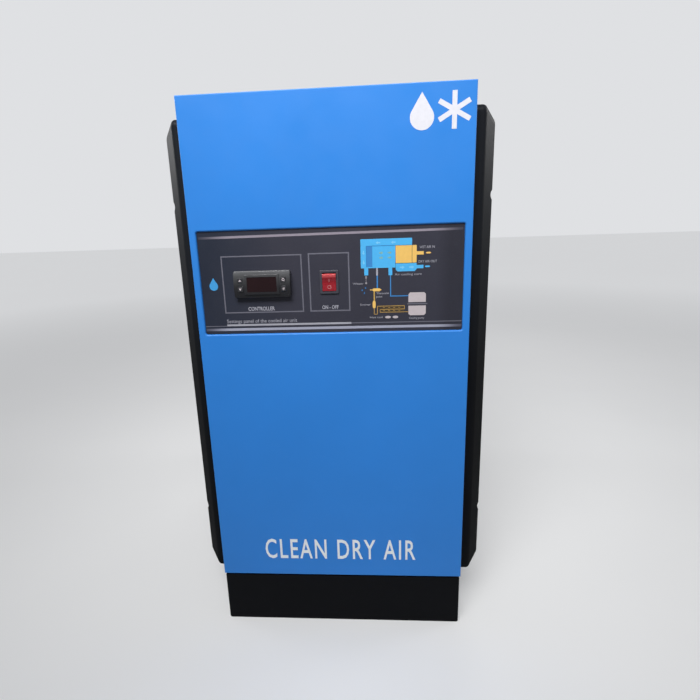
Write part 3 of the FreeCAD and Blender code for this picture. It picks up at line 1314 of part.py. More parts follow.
def drain():
    """Strainer, ball valve, float trap, tube and outlet, one below the other under the exchanger."""
    body_z = "467"
    main = cylinder("strainer_main", "z", ("0", "drip_y", body_z), "44.8", "12")
    tail = cylinder("strainer_tail", "z", ("0", "drip_y", f"{body_z} + 40"),
                    f"core_bottom + 3 - {body_z} - 40", "8")
    ends = [hexagon("strainer_end", "z", ("0", "drip_y", z), "11", "26")
            for z in (body_z, f"{body_z} + 33.8")]
    leg = cylinder("strainer_leg", "sloping", ("0", "drip_y", f"{body_z} + 30"), "30", "10")
    reach = 28 * math.sqrt(0.5)
    cap = hexagon("strainer_cap", "sloping", ("0", f"drip_y + {reach}", f"{body_z} + 30 - {reach}"),
                  "8", "22")
    way = cylinder("strainer_way", "z", ("0", "drip_y", f"{body_z} - 1"), "100", "6.5")
    node("drain_strainer", cut("drain_strainer", fuse("strainer_blank", main, tail, *ends, leg, cap), way))

    block = hexagon("valve_block", "z", ("0", "drip_y", "valve_z - 24"), "48.8", "28")
    neck = cylinder("valve_neck", "-y", ("0", "drip_y", "valve_z"), "22", "8")
    room = sphere("ball_room", ("0", "drip_y", "valve_z"), "ball_radius + 0.05")
    way = cylinder("valve_way", "z", ("0", "drip_y", "valve_z - 25"), "52", "6")
    stem_way = cylinder("stem_way", "-y", ("0", "drip_y", "valve_z"), "24", "4.05")
    node("drain_valve_body", cut("drain_valve_body", fuse("valve_blank", block, neck), room, way, stem_way))
    ball = sphere("ball", ("0", "drip_y", "valve_z"), "ball_radius")
    ball_way = cylinder("ball_way", "z", ("0", "drip_y", "valve_z - 12"), "24", "6")
    stem = cylinder("valve_stem", "-y", ("0", "drip_y - 6.8", "valve_z"), "21", "4")
    hand = box("valve_hand", ("-9", "9"), ("drip_y - 25.6", "drip_y - 22.4"), ("valve_z - 9", "valve_z + 60"))
    shaped = fillet("valve_lever", hand, "8", lambda b: b.XLength < 0.01 and b.ZLength < 0.01)
    node("drain_valve_lever", fuse("drain_valve_lever", cut("bored_ball", ball, ball_way), stem, shaped))

    blank = cylinder("trap_head_blank", "z", ("0", "drip_y", "386"), "31.8", "bowl_radius + 3")
    head = fillet("trap_head", blank, "3", lambda b: b.ZLength < 0.01)
    inlet = cylinder("trap_way", "z", ("0", "drip_y", "394"), "26", "6")
    seat = cylinder("trap_seat", "z", ("0", "drip_y", "385"), "12", "bowl_radius + 0.05")
    node("auto_drain_head", cut("auto_drain_head", head, inlet, seat))
    wall = fillet("bowl_outside", cylinder("bowl_blank", "z", ("0", "drip_y", "306"), "90.8", "bowl_radius"),
                  "9", lambda b: b.ZMax < num("306.1"))
    tail = cylinder("bowl_tail", "z", ("0", "drip_y", "292"), "16", "5.9")
    barb = cylinder("bowl_barb", "z", ("0", "drip_y", "284"), "9", "3.15")
    hollow = cylinder("bowl_hollow", "z", ("0", "drip_y", "308.6"), "90", "bowl_radius - 2.6")
    inside = fillet("bowl_inside", hollow, "7", lambda b: b.ZMax < num("308.7"))
    outlet = cylinder("bowl_outlet", "z", ("0", "drip_y", "283"), "40", "1.8")
    node("auto_drain_bowl", cut("auto_drain_bowl", fuse("bowl_solid", wall, tail, barb), inside, outlet))
    float_body = fillet("float_can", cylinder("float_blank", "z", ("0", "drip_y", "318"), "40", "13.5"),
                        "4", lambda b: b.ZLength < 0.01)
    needle = cone("float_needle", "z", ("0", "drip_y", "309.2"), "10", "1.6", "3")
    node("auto_drain_float", fuse("auto_drain_float", float_body, needle))

    path = [("0", "drip_y", "291.8"), ("0", "drip_y", "drain_z"), ("drain_x", "drip_y", "drain_z"),
            ("drain_x", "rear_y - 22", "drain_z")]
    node("drain_tube", tube("drain_tube", path, "5", "22", "3.3"))

    y = "rear_y - 30"
    parts = [cylinder("outlet_inner", "y", ("drain_x", y, "drain_z"), "12", "3.15"),
             hexagon("outlet_hex", "y", ("drain_x", "rear_y - 18", "drain_z"), "16", "20"),
             cylinder("outlet_neck", "y", ("drain_x", "rear_y - 3", "drain_z"), "12", "8"),
             cylinder("outlet_stub", "y", ("drain_x", "rear_y + 8", "drain_z"), "20", "stub_radius"),
             cone("outlet_tip", "y", ("drain_x", "rear_y + 28", "drain_z"), "1", "stub_radius",
                  "stub_radius - 0.8")]
    way = cylinder("outlet_way", "y", ("drain_x", "rear_y - 31", "drain_z"), "62", "2")
    node("drain_outlet", cut("drain_outlet", fuse("outlet_blank", *parts), way))


# ---------------------------------------------------------------- electrical parts


def electrical():
    plate = body("plate")
    outline = sketch(plate, "YZ", "plate_x")
    rectangle(outline, ("front_y + 255", "front_y + 435"), ("plinth_height + 0.1", "515"))
    pad(outline, "sheet", 1)
    toe = sketch(plate, "XY", "plinth_height + 0.1")
    rectangle(toe, ("plate_x - 22", "plate_x"), ("front_y + 255", "front_y + 435"))
    pad(toe, "sheet")
    node("electrical_plate", plate)

    base = box("contactor_base", ("plate_x - 40", "plate_x - 0.1"), ("front_y + 275", "front_y + 320"),
               ("380", "460"))
    top = box("contactor_top", ("plate_x - 66", "plate_x - 39"), ("front_y + 280", "front_y + 315"),
              ("392", "448"))
    screws = [cylinder("contactor_screw", "x", ("plate_x - 42", f"front_y + {d}", z), "4", "3.6")
              for d in ("284", "297.5", "311") for z in ("386", "454")]
    node("contactor", fuse("contactor", base, top, *screws))

    rail = box("terminal_rail", ("plate_x - 8", "plate_x - 0.1"), ("front_y + 270", "front_y + 400"),
               ("322", "350"))
    ways = []
    for i in range(10):
        start = f"front_y + {274 + 12 * i}"
        ways.append(box("terminal", ("plate_x - 40", "plate_x - 7"), (start, f"{start} + 11.2"),
                        ("312", "360")))
    mouths = [cylinder("terminal_mouth", "x", ("plate_x - 41", f"front_y + {279.6 + 12 * i}", z), "6", "2.6")
              for i in range(10) for z in ("322", "350")]
    node("terminal_block", cut("terminal_block", fuse("terminals", rail, *ways), *mouths))

    seat = "rear_y + 0.1"
    outside = [hexagon("gland_hex", "y", ("gland_x", seat, "gland_z"), "8", "24"),
               cylinder("gland_dome", "y", ("gland_x", "rear_y + 8", "gland_z"), "16", "10.5"),
               cylinder("gland_thread", "y", ("gland_x", "rear_y - 12", "gland_z"), "13", "10")]
    bore = cylinder("gland_way", "y", ("gland_x", "rear_y - 13", "gland_z"), "40", "gland_bore")
    dome = fuse("gland_solid", *outside)
    node("cable_gland", cut("cable_gland", dome, bore))

    lead = [("140", "front_y + 335", "360.2"), ("140", "front_y + 335", "490"),
            ("140", "front_y + 110", "490"), ("140", "front_y + 110", "control_z"),
            ("0", "front_y + 110", "control_z"), ("0", "front_y + 42", "control_z")]
    node("control_harness", tube("control_harness", lead, "4", "18"))


# ---------------------------------------------------------------- build, check and write

base_tray()
plinth_end("front")
plinth_end("rear")
side_frames()
front_panel()
rear_panel()
top_cover()
panel_screws()
side_covers()
shelf()
overlay()
controller()
switch()
air_ports()
heat_exchanger()
insulation()
compressor()
condenser()
fan()
refrigerant_lines()
drain()
electrical()

doc.recompute()
for thing in doc.Objects:
    if "Invalid" in thing.State or "Error" in thing.State:
        raise SystemExit(f"{thing.Label} did not recompute: {thing.State}")

os.makedirs("parts", exist_ok=True)
for thing in NODES:
    shape = thing.Shape
    if shape.isNull() or not shape.isValid() or not shape.Solids:
        raise SystemExit(f"{thing.Label} has no valid shape")
for thing in NODES:
    thing.Shape.exportStep(f"parts/{thing.Label}.step")
print(len(NODES), "sub-parts written")
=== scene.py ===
"""The looks of an upright refrigerated air dryer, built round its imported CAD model.

Blender's lengths are metres in the row frame: +Z up, -Y out of the front panel. Printed artwork is
drawn in millimetres, across from the middle of the front and up from the floor.
"""

import json
import math

import bmesh
import bpy
from mathutils import Matrix, Vector


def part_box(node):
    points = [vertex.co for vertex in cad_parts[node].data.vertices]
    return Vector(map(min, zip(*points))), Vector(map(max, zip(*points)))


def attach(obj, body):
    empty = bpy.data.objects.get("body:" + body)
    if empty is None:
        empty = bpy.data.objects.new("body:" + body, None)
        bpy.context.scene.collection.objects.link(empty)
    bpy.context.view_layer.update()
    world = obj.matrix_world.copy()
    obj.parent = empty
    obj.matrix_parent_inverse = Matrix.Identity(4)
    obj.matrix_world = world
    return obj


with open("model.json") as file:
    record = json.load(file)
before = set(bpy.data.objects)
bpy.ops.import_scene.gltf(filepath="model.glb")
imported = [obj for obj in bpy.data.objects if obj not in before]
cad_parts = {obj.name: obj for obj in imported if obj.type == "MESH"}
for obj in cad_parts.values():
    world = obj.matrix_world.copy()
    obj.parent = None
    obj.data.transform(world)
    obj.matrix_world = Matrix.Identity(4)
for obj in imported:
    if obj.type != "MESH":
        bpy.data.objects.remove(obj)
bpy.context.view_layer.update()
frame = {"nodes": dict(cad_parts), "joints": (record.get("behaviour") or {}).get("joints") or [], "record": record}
nodes = frame["nodes"]
joints = {joint["name"]: joint for joint in frame["joints"]}

MM = 0.001
CABINET = "cabinet"

# ---------------------------------------------------------------- material kit


def srgb(red, green, blue):
    """A linear colour from the 0-255 values of a paint chip."""
    def linear(value):
        value /= 255
        return value / 12.92 if value <= 0.04045 else ((value + 0.055) / 1.055) ** 2.4
    return (linear(red), linear(green), linear(blue), 1.0)


def shade(colour, factor):
    """The colour made lighter or darker by a factor."""
    return tuple(min(1.0, channel * factor) for channel in colour[:3]) + (1.0,)


class Shader:
    """One procedural material and the few node recipes that the finishes share."""

    def __init__(self, name):
        self.material = bpy.data.materials.new(name)
        self.material.use_nodes = True
        self.tree = self.material.node_tree
        self.principled = self.tree.nodes["Principled BSDF"]
        self.place = self.add("ShaderNodeTexCoord").outputs["Object"]

    def add(self, kind, **settings):
        made = self.tree.nodes.new(kind)
        for key, value in settings.items():
            setattr(made, key, value)
        return made

    def link(self, start, end):
        self.tree.links.new(start, end)

    def constant(self, **values):
        """Sets plain numbers and colours on the shader's own sockets."""
        for name, value in values.items():
            self.principled.inputs[name.replace("_", " ")].default_value = value
        return self

    def stretched(self, scale):
        """Object coordinates scaled unevenly, for brushed or drawn grain."""
        mapping = self.add("ShaderNodeMapping")
        mapping.inputs["Scale"].default_value = scale
        self.link(self.place, mapping.inputs["Vector"])
        return mapping.outputs["Vector"]

    def noise(self, scale, detail=3.0, roughness=0.55, vector=None):
        made = self.add("ShaderNodeTexNoise")
        made.inputs["Scale"].default_value = scale
        made.inputs["Detail"].default_value = detail
        made.inputs["Roughness"].default_value = roughness
        self.link(vector or self.place, made.inputs["Vector"])
        return made.outputs["Fac"]

    def ramp(self, factor, stops):
        """A colour ramp through (position, colour or grey level) stops."""
        made = self.add("ShaderNodeValToRGB")
        elements = made.color_ramp.elements
        while len(elements) < len(stops):
            elements.new(0.5)
        for element, (position, colour) in zip(elements, stops):
            element.position = position
            element.color = colour if isinstance(colour, tuple) else (colour, colour, colour, 1.0)
        self.link(factor, made.inputs["Fac"])
        return made.outputs["Color"]

    def spread(self, factor, low, high):
        """Maps the middle of a noise to the range low..high."""
        made = self.add("ShaderNodeMapRange")
        made.inputs["From Min"].default_value = 0.3
        made.inputs["From Max"].default_value = 0.7
        made.inputs["To Min"].default_value = low
        made.inputs["To Max"].default_value = high
        self.link(factor, made.inputs["Value"])
        return made.outputs["Result"]

    def mix(self, factor, first, second):
        made = self.add("ShaderNodeMix", data_type="RGBA")
        self.link(factor, made.inputs["Factor"])
        for socket, value in (("A", first), ("B", second)):
            target = [i for i in made.inputs if i.name == socket and i.type == "RGBA"][0]
            if isinstance(value, tuple):
                target.default_value = value
            else:
                self.link(value, target)
        return [o for o in made.outputs if o.type == "RGBA"][0]

    def level(self, axis, low, high):
        """One object coordinate mapped to 0..1 between low and high, in metres."""
        parts = self.add("ShaderNodeSeparateXYZ")
        self.link(self.place, parts.inputs["Vector"])
        made = self.add("ShaderNodeMapRange")
        made.inputs["From Min"].default_value = low
        made.inputs["From Max"].default_value = high
        self.link(parts.outputs[axis], made.inputs["Value"])
        return made.outputs["Result"]

    def bumps(self, *layers):
        """Stacks bump layers of (height output, distance in metres, strength)."""
        normal = None
        for height, distance, strength in layers:
            made = self.add("ShaderNodeBump")
            made.inputs["Distance"].default_value = distance
            made.inputs["Strength"].default_value = strength
            self.link(height, made.inputs["Height"])
            if normal:
                self.link(normal, made.inputs["Normal"])
            normal = made.outputs["Normal"]
        self.link(normal, self.principled.inputs["Normal"])
        return self

    def colour(self, output):
        self.link(output, self.principled.inputs["Base Color"])
        return self

    def roughness(self, output):
        self.link(output, self.principled.inputs["Roughness"])
        return self


def powder_coat(name, colour, gloss, peel_scale=420, peel=0.6, dust=0.08, specular=0.3):
    """Sprayed and baked paint: a soft mottle, a film of dust and a fine orange peel."""
    made = Shader(name)
    mottle = made.noise(9, 4)
    fine = made.noise(160, 3)
    tone = made.mix(mottle, shade(colour, 0.93), shade(colour, 1.06))
    specks = made.ramp(fine, [(0.0, 0.0), (0.62, 0.0), (0.82, dust)])
    made.colour(made.mix(specks, tone, (0.45, 0.45, 0.45, 1)))
    made.roughness(made.spread(made.noise(26, 5), gloss - 0.05, gloss + 0.09))
    made.bumps((made.noise(peel_scale, 2), 0.0002, peel), (made.noise(22, 2), 0.0006, 0.10))
    return made.constant(Specular_IOR_Level=specular).material


def cabinet_paint():
    """Textured black paint of the cabinet, duller towards the floor, with painted shade that darkens it towards
    the floor.
    """
    made = Shader("cabinet_black")
    height = made.level("Z", 0.10, 0.62)
    # painted shade: the black turns darker towards the floor, where less light falls on it
    painted_light_by_height = made.ramp(height, [(0.0, shade(NEAR_BLACK, 0.32)), (0.60, shade(NEAR_BLACK, 0.40)),
                               (0.85, shade(NEAR_BLACK, 0.90)), (1.0, NEAR_BLACK)])
    worn = made.ramp(made.noise(9, 4), [(0.3, 0.0), (0.7, 0.3)])
    made.colour(made.mix(worn, painted_light_by_height, shade(NEAR_BLACK, 0.55)))
    dull = made.ramp(height, [(0.0, 0.80), (0.60, 0.74), (0.90, 0.50), (1.0, 0.46)])
    made.roughness(made.mix(made.ramp(made.noise(26, 5), [(0.3, 0.0), (0.7, 0.3)]), dull, (0.4, 0.4, 0.4, 1)))
    made.bumps((made.noise(330, 2), 0.0002, 0.85), (made.noise(22, 2), 0.0006, 0.10))
    return made.constant(Specular_IOR_Level=0.12).material


def bare_metal(name, colour, rough, grain=(40, 40, 900), stain=0.25):
    """Rolled, plated or drawn metal with directional grain and faint staining."""
    made = Shader(name)
    streaks = made.noise(1.0, 4, vector=made.stretched(grain))
    stains = made.noise(35, 6, 0.65)
    tone = made.mix(streaks, shade(colour, 0.86), shade(colour, 1.08))
    cover = made.ramp(stains, [(0.0, 0.0), (0.5, 0.0), (0.75, stain)])
    made.colour(made.mix(cover, tone, shade(colour, 0.55)))
    made.roughness(made.spread(stains, rough - 0.08, rough + 0.12))
    made.bumps((streaks, 0.00005, 0.5), (made.noise(240, 3), 0.00005, 0.3))
    return made.constant(Metallic=1.0).material


def moulded(name, colour, gloss, grain_scale=1500, grain=0.35, coat=0.0):
    """Moulded plastic with a spark-eroded grain."""
    made = Shader(name)
    tone = made.mix(made.noise(60, 3), shade(colour, 0.88), shade(colour, 1.12))
    made.colour(tone)
    made.roughness(made.spread(made.noise(180, 4), gloss - 0.04, gloss + 0.08))
    made.bumps((made.noise(grain_scale, 2), 0.00006, grain))
    return made.constant(Coat_Weight=coat, Coat_Roughness=0.12).material


def printed_ink(name, colour, gloss=0.42):
    """Screen-printed ink: slightly uneven in density, with a low edge of its own."""
    made = Shader(name)
    made.colour(made.mix(made.noise(220, 4), shade(colour, 0.90), shade(colour, 1.06)))
    made.roughness(made.spread(made.noise(500, 2), gloss - 0.05, gloss + 0.08))
    made.bumps((made.noise(2600, 2), 0.00002, 0.25))
    return made.material


# ---------------------------------------------------------------- materials

PANEL_BLUE = srgb(47, 132, 220)
NEAR_BLACK = srgb(30, 32, 36)
PLINTH_BLACK = srgb(18, 19, 22)
FILM_CHIP = (55, 55, 66)
FILM_GREY = srgb(*FILM_CHIP)
STRIP_END = 0.181


def film_material():
    """Satin polyester film whose ground is darker towards the left end and at the very right end."""
    made = Shader("overlay_film")
    deep = shade(srgb(46, 54, 72), 0.60)
    near = shade(srgb(50, 55, 70), 0.74)
    ground = made.ramp(made.level("X", -0.18, 0.18), [(0.0, deep), (0.10, near), (0.34, FILM_GREY),
                                                      (0.90, FILM_GREY), (0.95, shade(FILM_GREY, 0.70))])
    uneven = made.ramp(made.noise(14, 3), [(0.3, 0.0), (0.7, 0.2)])
    tone = made.mix(uneven, ground, shade(FILM_GREY, 1.3))
    fleck = made.ramp(made.noise(900, 2), [(0.0, 0.0), (0.60, 0.0), (0.80, 0.04)])
    made.colour(made.mix(fleck, tone, (0.5, 0.5, 0.52, 1)))
    made.roughness(made.spread(made.noise(40, 4), 0.32, 0.44))
    made.bumps((made.noise(1800, 2), 0.00004, 0.35), (made.noise(18, 2), 0.0004, 0.12))
    return made.constant(Specular_IOR_Level=0.35).material


def controller_plastic():
    """Satin moulding of the controller, with a painted highlight along its top where the crown turns up to the
    light, fading to painted shade towards its bottom.
    """
    made = Shader("controller_black")
    height = made.level("Z", 0.540, 0.5765)
    # painted highlight at the top of the moulding, fading to painted shade at its bottom
    tone = made.ramp(height, [(0.0, srgb(30, 30, 34)), (0.4, srgb(40, 40, 43)),
                              (0.85, srgb(74, 75, 77)), (1.0, srgb(92, 93, 96))])
    made.colour(made.mix(made.ramp(made.noise(60, 3), [(0.3, 0.0), (0.7, 0.25)]), tone, srgb(30, 30, 33)))
    made.roughness(made.spread(made.noise(180, 4), 0.30, 0.40))
    made.bumps((made.noise(1500, 2), 0.00006, 0.3))
    return made.constant(Coat_Weight=0.15, Coat_Roughness=0.12).material


def smoked_window():
    """Smoked acrylic over the read-out, nearly opaque with a breath of red."""
    made = Shader("controller_smoke")
    made.colour(made.mix(made.noise(50, 2), (0.020, 0.008, 0.010, 1), (0.028, 0.012, 0.014, 1)))
    made.roughness(made.spread(made.noise(120, 4), 0.05, 0.12))
    made.bumps((made.noise(70, 2), 0.0001, 0.08))
    return made.constant(Transmission_Weight=0.25, IOR=1.46, Specular_IOR_Level=0.4).material


def clear_bowl():
    """Clear polycarbonate with the faintest clouding."""
    made = Shader("bowl_clear")
    made.colour(made.mix(made.noise(40, 3), (0.82, 0.90, 0.95, 1), (0.95, 0.98, 1.0, 1)))
    made.roughness(made.spread(made.noise(160, 4), 0.03, 0.12))
    made.bumps((made.noise(60, 2), 0.0002, 0.15))
    return made.constant(Transmission_Weight=0.92, IOR=1.58).material


def rocker_red():
    """Translucent red polycarbonate, with a painted highlight on the bevel of its upper end."""
    made = Shader("rocker_red")
    height = made.level("Z", 0.546, 0.570)
    # painted highlight: the top of the rocker turns pale red where its bevel catches the light
    painted_light_by_height = made.ramp(height, [(0.0, srgb(148, 26, 38)), (0.76, srgb(156, 30, 42)),
                               (0.82, srgb(224, 86, 90)), (1.0, srgb(228, 92, 96))])
    made.colour(made.mix(made.ramp(made.noise(90, 3), [(0.3, 0.0), (0.7, 0.12)]), painted_light_by_height, srgb(120, 16, 26)))
    made.roughness(made.spread(made.noise(300, 3), 0.22, 0.32))
    made.bumps((made.noise(900, 2), 0.00003, 0.3))
    return made.constant(Coat_Weight=0.25, Coat_Roughness=0.1).material


def foam():
    """Closed-cell insulation: a pitted, matt skin."""
    made = Shader("foam_black")
    cells = made.add("ShaderNodeTexVoronoi")
    cells.inputs["Scale"].default_value = 700
    made.link(made.place, cells.inputs["Vector"])
    made.colour(made.mix(made.noise(30, 4), (0.012, 0.012, 0.012, 1), (0.03, 0.03, 0.031, 1)))
    made.roughness(made.spread(made.noise(90, 3), 0.8, 0.95))
    made.bumps((cells.outputs["Distance"], 0.0004, 0.6), (made.noise(25, 2), 0.002, 0.2))
    return made.material


def copper():
    """Drawn copper, dulled in patches."""
    made = Shader("tube_copper")
    tarnish = made.noise(28, 6, 0.6)
    tone = made.mix(made.noise(5, 3), (0.78, 0.36, 0.20, 1), (0.88, 0.46, 0.28, 1))
    cover = made.ramp(tarnish, [(0.0, 0.0), (0.45, 0.0), (0.7, 0.75)])
    made.colour(made.mix(cover, tone, (0.25, 0.10, 0.055, 1)))
    made.roughness(made.spread(tarnish, 0.24, 0.52))
    made.bumps((made.noise(400, 3), 0.00005, 0.3))
    return made.constant(Metallic=1.0).material


def rubber(name, colour=(0.02, 0.02, 0.021, 1)):
    """Matt moulded rubber."""
    made = Shader(name)
    made.colour(made.mix(made.noise(70, 4), shade(colour, 0.8), shade(colour, 1.6)))
    made.roughness(made.spread(made.noise(120, 4), 0.58, 0.78))
    made.bumps((made.noise(700, 3), 0.0001, 0.4))
    return made.material


def fins_material():
    """Thin bright fins with dust caught between them."""
    made = Shader("fin_aluminium")
    dust = made.ramp(made.noise(20, 6, 0.65), [(0.0, 0.0), (0.45, 0.1), (0.8, 0.7)])
    bright = made.mix(made.noise(300, 3), (0.62, 0.63, 0.65, 1), (0.80, 0.81, 0.83, 1))
    made.colour(made.mix(dust, bright, (0.28, 0.26, 0.23, 1)))
    made.roughness(made.spread(made.noise(90, 4), 0.28, 0.5))
    made.bumps((made.noise(500, 3), 0.0001, 0.4))
    return made.constant(Metallic=0.85).material


finish = {
    "panel_blue": powder_coat("panel_blue", PANEL_BLUE, 0.40, 520, 0.30, 0.02, 0.40),
    "cabinet_black": cabinet_paint(),
    "plinth_black": powder_coat("plinth_black", PLINTH_BLACK, 0.46, 380, 0.5, 0.01, 0.06),
    "zinc_sheet": bare_metal("zinc_sheet", (0.62, 0.64, 0.66, 1), 0.36, (30, 30, 200), 0.4),
    "screw_black": powder_coat("screw_black", srgb(38, 38, 40), 0.32, 900, 0.3, 0.05),
    "overlay_film": film_material(),
    "controller_black": controller_plastic(),
    "controller_smoke": smoked_window(),
    "board_green": moulded("board_green", srgb(20, 74, 44), 0.35, 600, 0.3),
    "key_black": moulded("key_black", srgb(54, 54, 58), 0.32, 1200, 0.25, 0.2),
    "switch_black": moulded("switch_black", srgb(66, 66, 75), 0.36),
    "rocker_red": rocker_red(),
    "port_steel": bare_metal("port_steel", (0.66, 0.65, 0.60, 1), 0.30, (400, 60, 400), 0.3),
    "fitting_brass": bare_metal("fitting_brass", (0.80, 0.58, 0.27, 1), 0.30, (200, 200, 60), 0.45),
    "core_aluminium": bare_metal("core_aluminium", (0.74, 0.75, 0.77, 1), 0.38, (60, 20, 200), 0.3),
    "foam_black": foam(),
    "compressor_black": powder_coat("compressor_black", srgb(22, 22, 24), 0.26, 160, 0.5, 0.2),
    "grommet_rubber": rubber("grommet_rubber"),
    "tube_copper": copper(),
    "fin_aluminium": fins_material(),
    "fan_aluminium": bare_metal("fan_aluminium", (0.70, 0.71, 0.72, 1), 0.34, (200, 60, 60), 0.3),
    "motor_black": powder_coat("motor_black", srgb(28, 28, 30), 0.34, 500, 0.5, 0.3),
    "lever_red": powder_coat("lever_red", srgb(190, 30, 24), 0.30, 700, 0.3, 0.05),
    "bowl_clear": clear_bowl(),
    "float_white": moulded("float_white", srgb(226, 224, 214), 0.42),
    "hose_blue": moulded("hose_blue", srgb(40, 104, 190), 0.28, 300, 0.2, 0.3),
    "contactor_grey": moulded("contactor_grey", srgb(112, 116, 120), 0.44),
    "terminal_beige": moulded("terminal_beige", srgb(196, 186, 158), 0.46),
    "cable_black": rubber("cable_black"),
    "gland_black": moulded("gland_black", srgb(28, 28, 30), 0.40, 700, 0.4),
}


def fading_ink(name, colour, ground, fade):
    """Ink that thins out towards the two ends of the strip."""
    made = Shader(name)
    parts = made.add("ShaderNodeSeparateXYZ")
    made.link(made.place, parts.inputs["Vector"])
    across = made.add("ShaderNodeMath", operation="ABSOLUTE")
    made.link(parts.outputs["X"], across.inputs[0])
    reach = made.add("ShaderNodeMapRange", interpolation_type="SMOOTHSTEP")
    reach.inputs["From Min"].default_value = STRIP_END - fade
    reach.inputs["From Max"].default_value = STRIP_END
    made.link(across.outputs["Value"], reach.inputs["Value"])
    dense = made.mix(made.noise(220, 4), shade(colour, 0.92), shade(colour, 1.05))
    made.colour(made.mix(reach.outputs["Result"], dense, ground))
    made.roughness(made.spread(made.noise(500, 2), 0.3, 0.42))
    made.bumps((made.noise(2600, 2), 0.00002, 0.25))
    return made.material


INKS = {
    "white": (244, 249, 255), "chalk": (226, 226, 234), "light": (168, 168, 178), "grey": (150, 146, 152),
    "dim": (108, 108, 120), "sky": (78, 182, 242), "blue": (58, 136, 204), "deep": (40, 112, 178),
    "drop": (66, 160, 224), "ice": (128, 204, 246), "mist": (134, 180, 172), "amber": (242, 196, 106),
    "gold": (200, 162, 84), "umber": (66, 56, 46), "pale": (198, 188, 192), "rose": (206, 128, 132),
}
ink = {name: printed_ink("ink_" + name, srgb(*colour)) for name, colour in INKS.items()}
ink["band"] = fading_ink("ink_band", srgb(150, 142, 154), shade(srgb(*FILM_CHIP), 1.3), 0.05)
ink["band_low"] = fading_ink("ink_band_low", srgb(166, 168, 186), shade(srgb(*FILM_CHIP), 2.2), 0.04)


def refinish_nodes():
    """Gives every CAD node the finish of its record slot."""
    slot_of = {part["node"]: part["material_slot"] for part in frame["record"]["subparts"]}
    for name, node in nodes.items():
        if not node.material_slots:
            node.data.materials.append(None)
        for place in node.material_slots:
            place.material = finish[slot_of[name]]


refinish_nodes()

# ---------------------------------------------------------------- piece kit


def piece(name, mesh, material, body=CABINET):
    """A finished mesh in the row frame, as a piece that rides on a CAD body."""
    made = bpy.data.objects.new(name, mesh)
    bpy.context.scene.collection.objects.link(made)
    mesh.materials.append(material)
    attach(made, body)
    return made


def rounded_outline(x, z, radius=0.0, steps=5):
    """The corners of a rectangle between the pairs x and z, with round corners if asked."""
    (x0, x1), (z0, z1) = x, z
    if radius <= 0:
        return [(x0, z0), (x1, z0), (x1, z1), (x0, z1)]
    centres = [(x1 - radius, z0 + radius), (x1 - radius, z1 - radius),
               (x0 + radius, z1 - radius), (x0 + radius, z0 + radius)]
    points = []
    for quarter, (cx, cz) in enumerate(centres):
        for i in range(steps + 1):
            angle = math.radians(90 * (quarter - 1) + 90 * i / steps)
            points.append((cx + radius * math.cos(angle), cz + radius * math.sin(angle)))
    return points


def disc(x, z, radius, height=None, steps=20):
    """An ellipse, or a circle if only one radius is given."""
    upward = height or radius
    turns = [math.tau * i / steps for i in range(steps)]
    return [(x + radius * math.cos(turn), z + upward * math.sin(turn)) for turn in turns]


def ring(x, z, outer, inner, steps=28):
    """An annulus as a loop of short four-sided outlines."""
    quads = []
    for i in range(steps):
        a, b = math.tau * i / steps, math.tau * (i + 1) / steps
        corners = ((inner, a), (outer, a), (outer, b), (inner, b))
        quads.append([(x + radius * math.cos(turn), z + radius * math.sin(turn)) for radius, turn in corners])
    return quads


def bar(start, end, width):
    """A straight stroke of that width with square ends."""
    run = Vector(end) - Vector(start)
    side = Vector((-run.y, run.x)).normalized() * width / 2
    a, b = Vector(start), Vector(end)
    return [tuple(a - side), tuple(b - side), tuple(b + side), tuple(a + side)]


def line(points, width):
    """Strokes along a line of right angles, each lengthened by half its width so that corners close."""
    strokes = []
    for start, end in zip(points, points[1:]):
        ahead = (Vector(end) - Vector(start)).normalized() * width / 2
        strokes.append(bar(tuple(Vector(start) - ahead), tuple(Vector(end) + ahead), width))
    return strokes


def border(x, z, width):
    """Four strokes round a rectangle, meeting without overlap."""
    (x0, x1), (z0, z1) = x, z
    return [rounded_outline((x0, x1), (z0, z0 + width)), rounded_outline((x0, x1), (z1 - width, z1)),
            rounded_outline((x0, x0 + width), (z0 + width, z1 - width)),
            rounded_outline((x1 - width, x1), (z0 + width, z1 - width))]


def drop(x, z, height):
    """A water drop whose round end is down, centred on x, z."""
    radius = height * 0.34
    low = z - height / 2 + radius
    tip = z + height / 2
    lean = math.acos(radius / (tip - low))
    points = [(x, tip)]
    steps = 26
    for i in range(steps + 1):
        angle = math.pi / 2 - lean - (math.tau - 2 * lean) * i / steps
        points.append((x + radius * math.cos(angle), low + radius * math.sin(angle)))
    return points


def arrow(x, z, length, width, heading):
    """A broad arrow about x, z that points along heading, in degrees from the right."""
    half, neck = length / 2, width * 0.18
    shape = [(-half, -neck), (0, -neck), (0, -width / 2), (half, 0), (0, width / 2), (0, neck), (-half, neck)]
    turn = math.radians(heading)
    return [(x + u * math.cos(turn) - v * math.sin(turn), z + u * math.sin(turn) + v * math.cos(turn))
            for u, v in shape]


def star(x, z, reach, stroke, arms=6):
    """One outline of equal arms round a centre, the first pointing up."""
    points = []
    notch = stroke / 2 / math.sin(math.pi / arms)
    for i in range(arms):
        ahead = math.pi / 2 + math.tau * i / arms
        along = Vector((math.cos(ahead), math.sin(ahead)))
        aside = Vector((-along.y, along.x)) * stroke / 2
        between = ahead + math.pi / arms
        for point in (along * reach - aside, along * reach + aside,
                      Vector((math.cos(between), math.sin(between))) * notch):
            points.append((x + point.x, z + point.y))
    return points


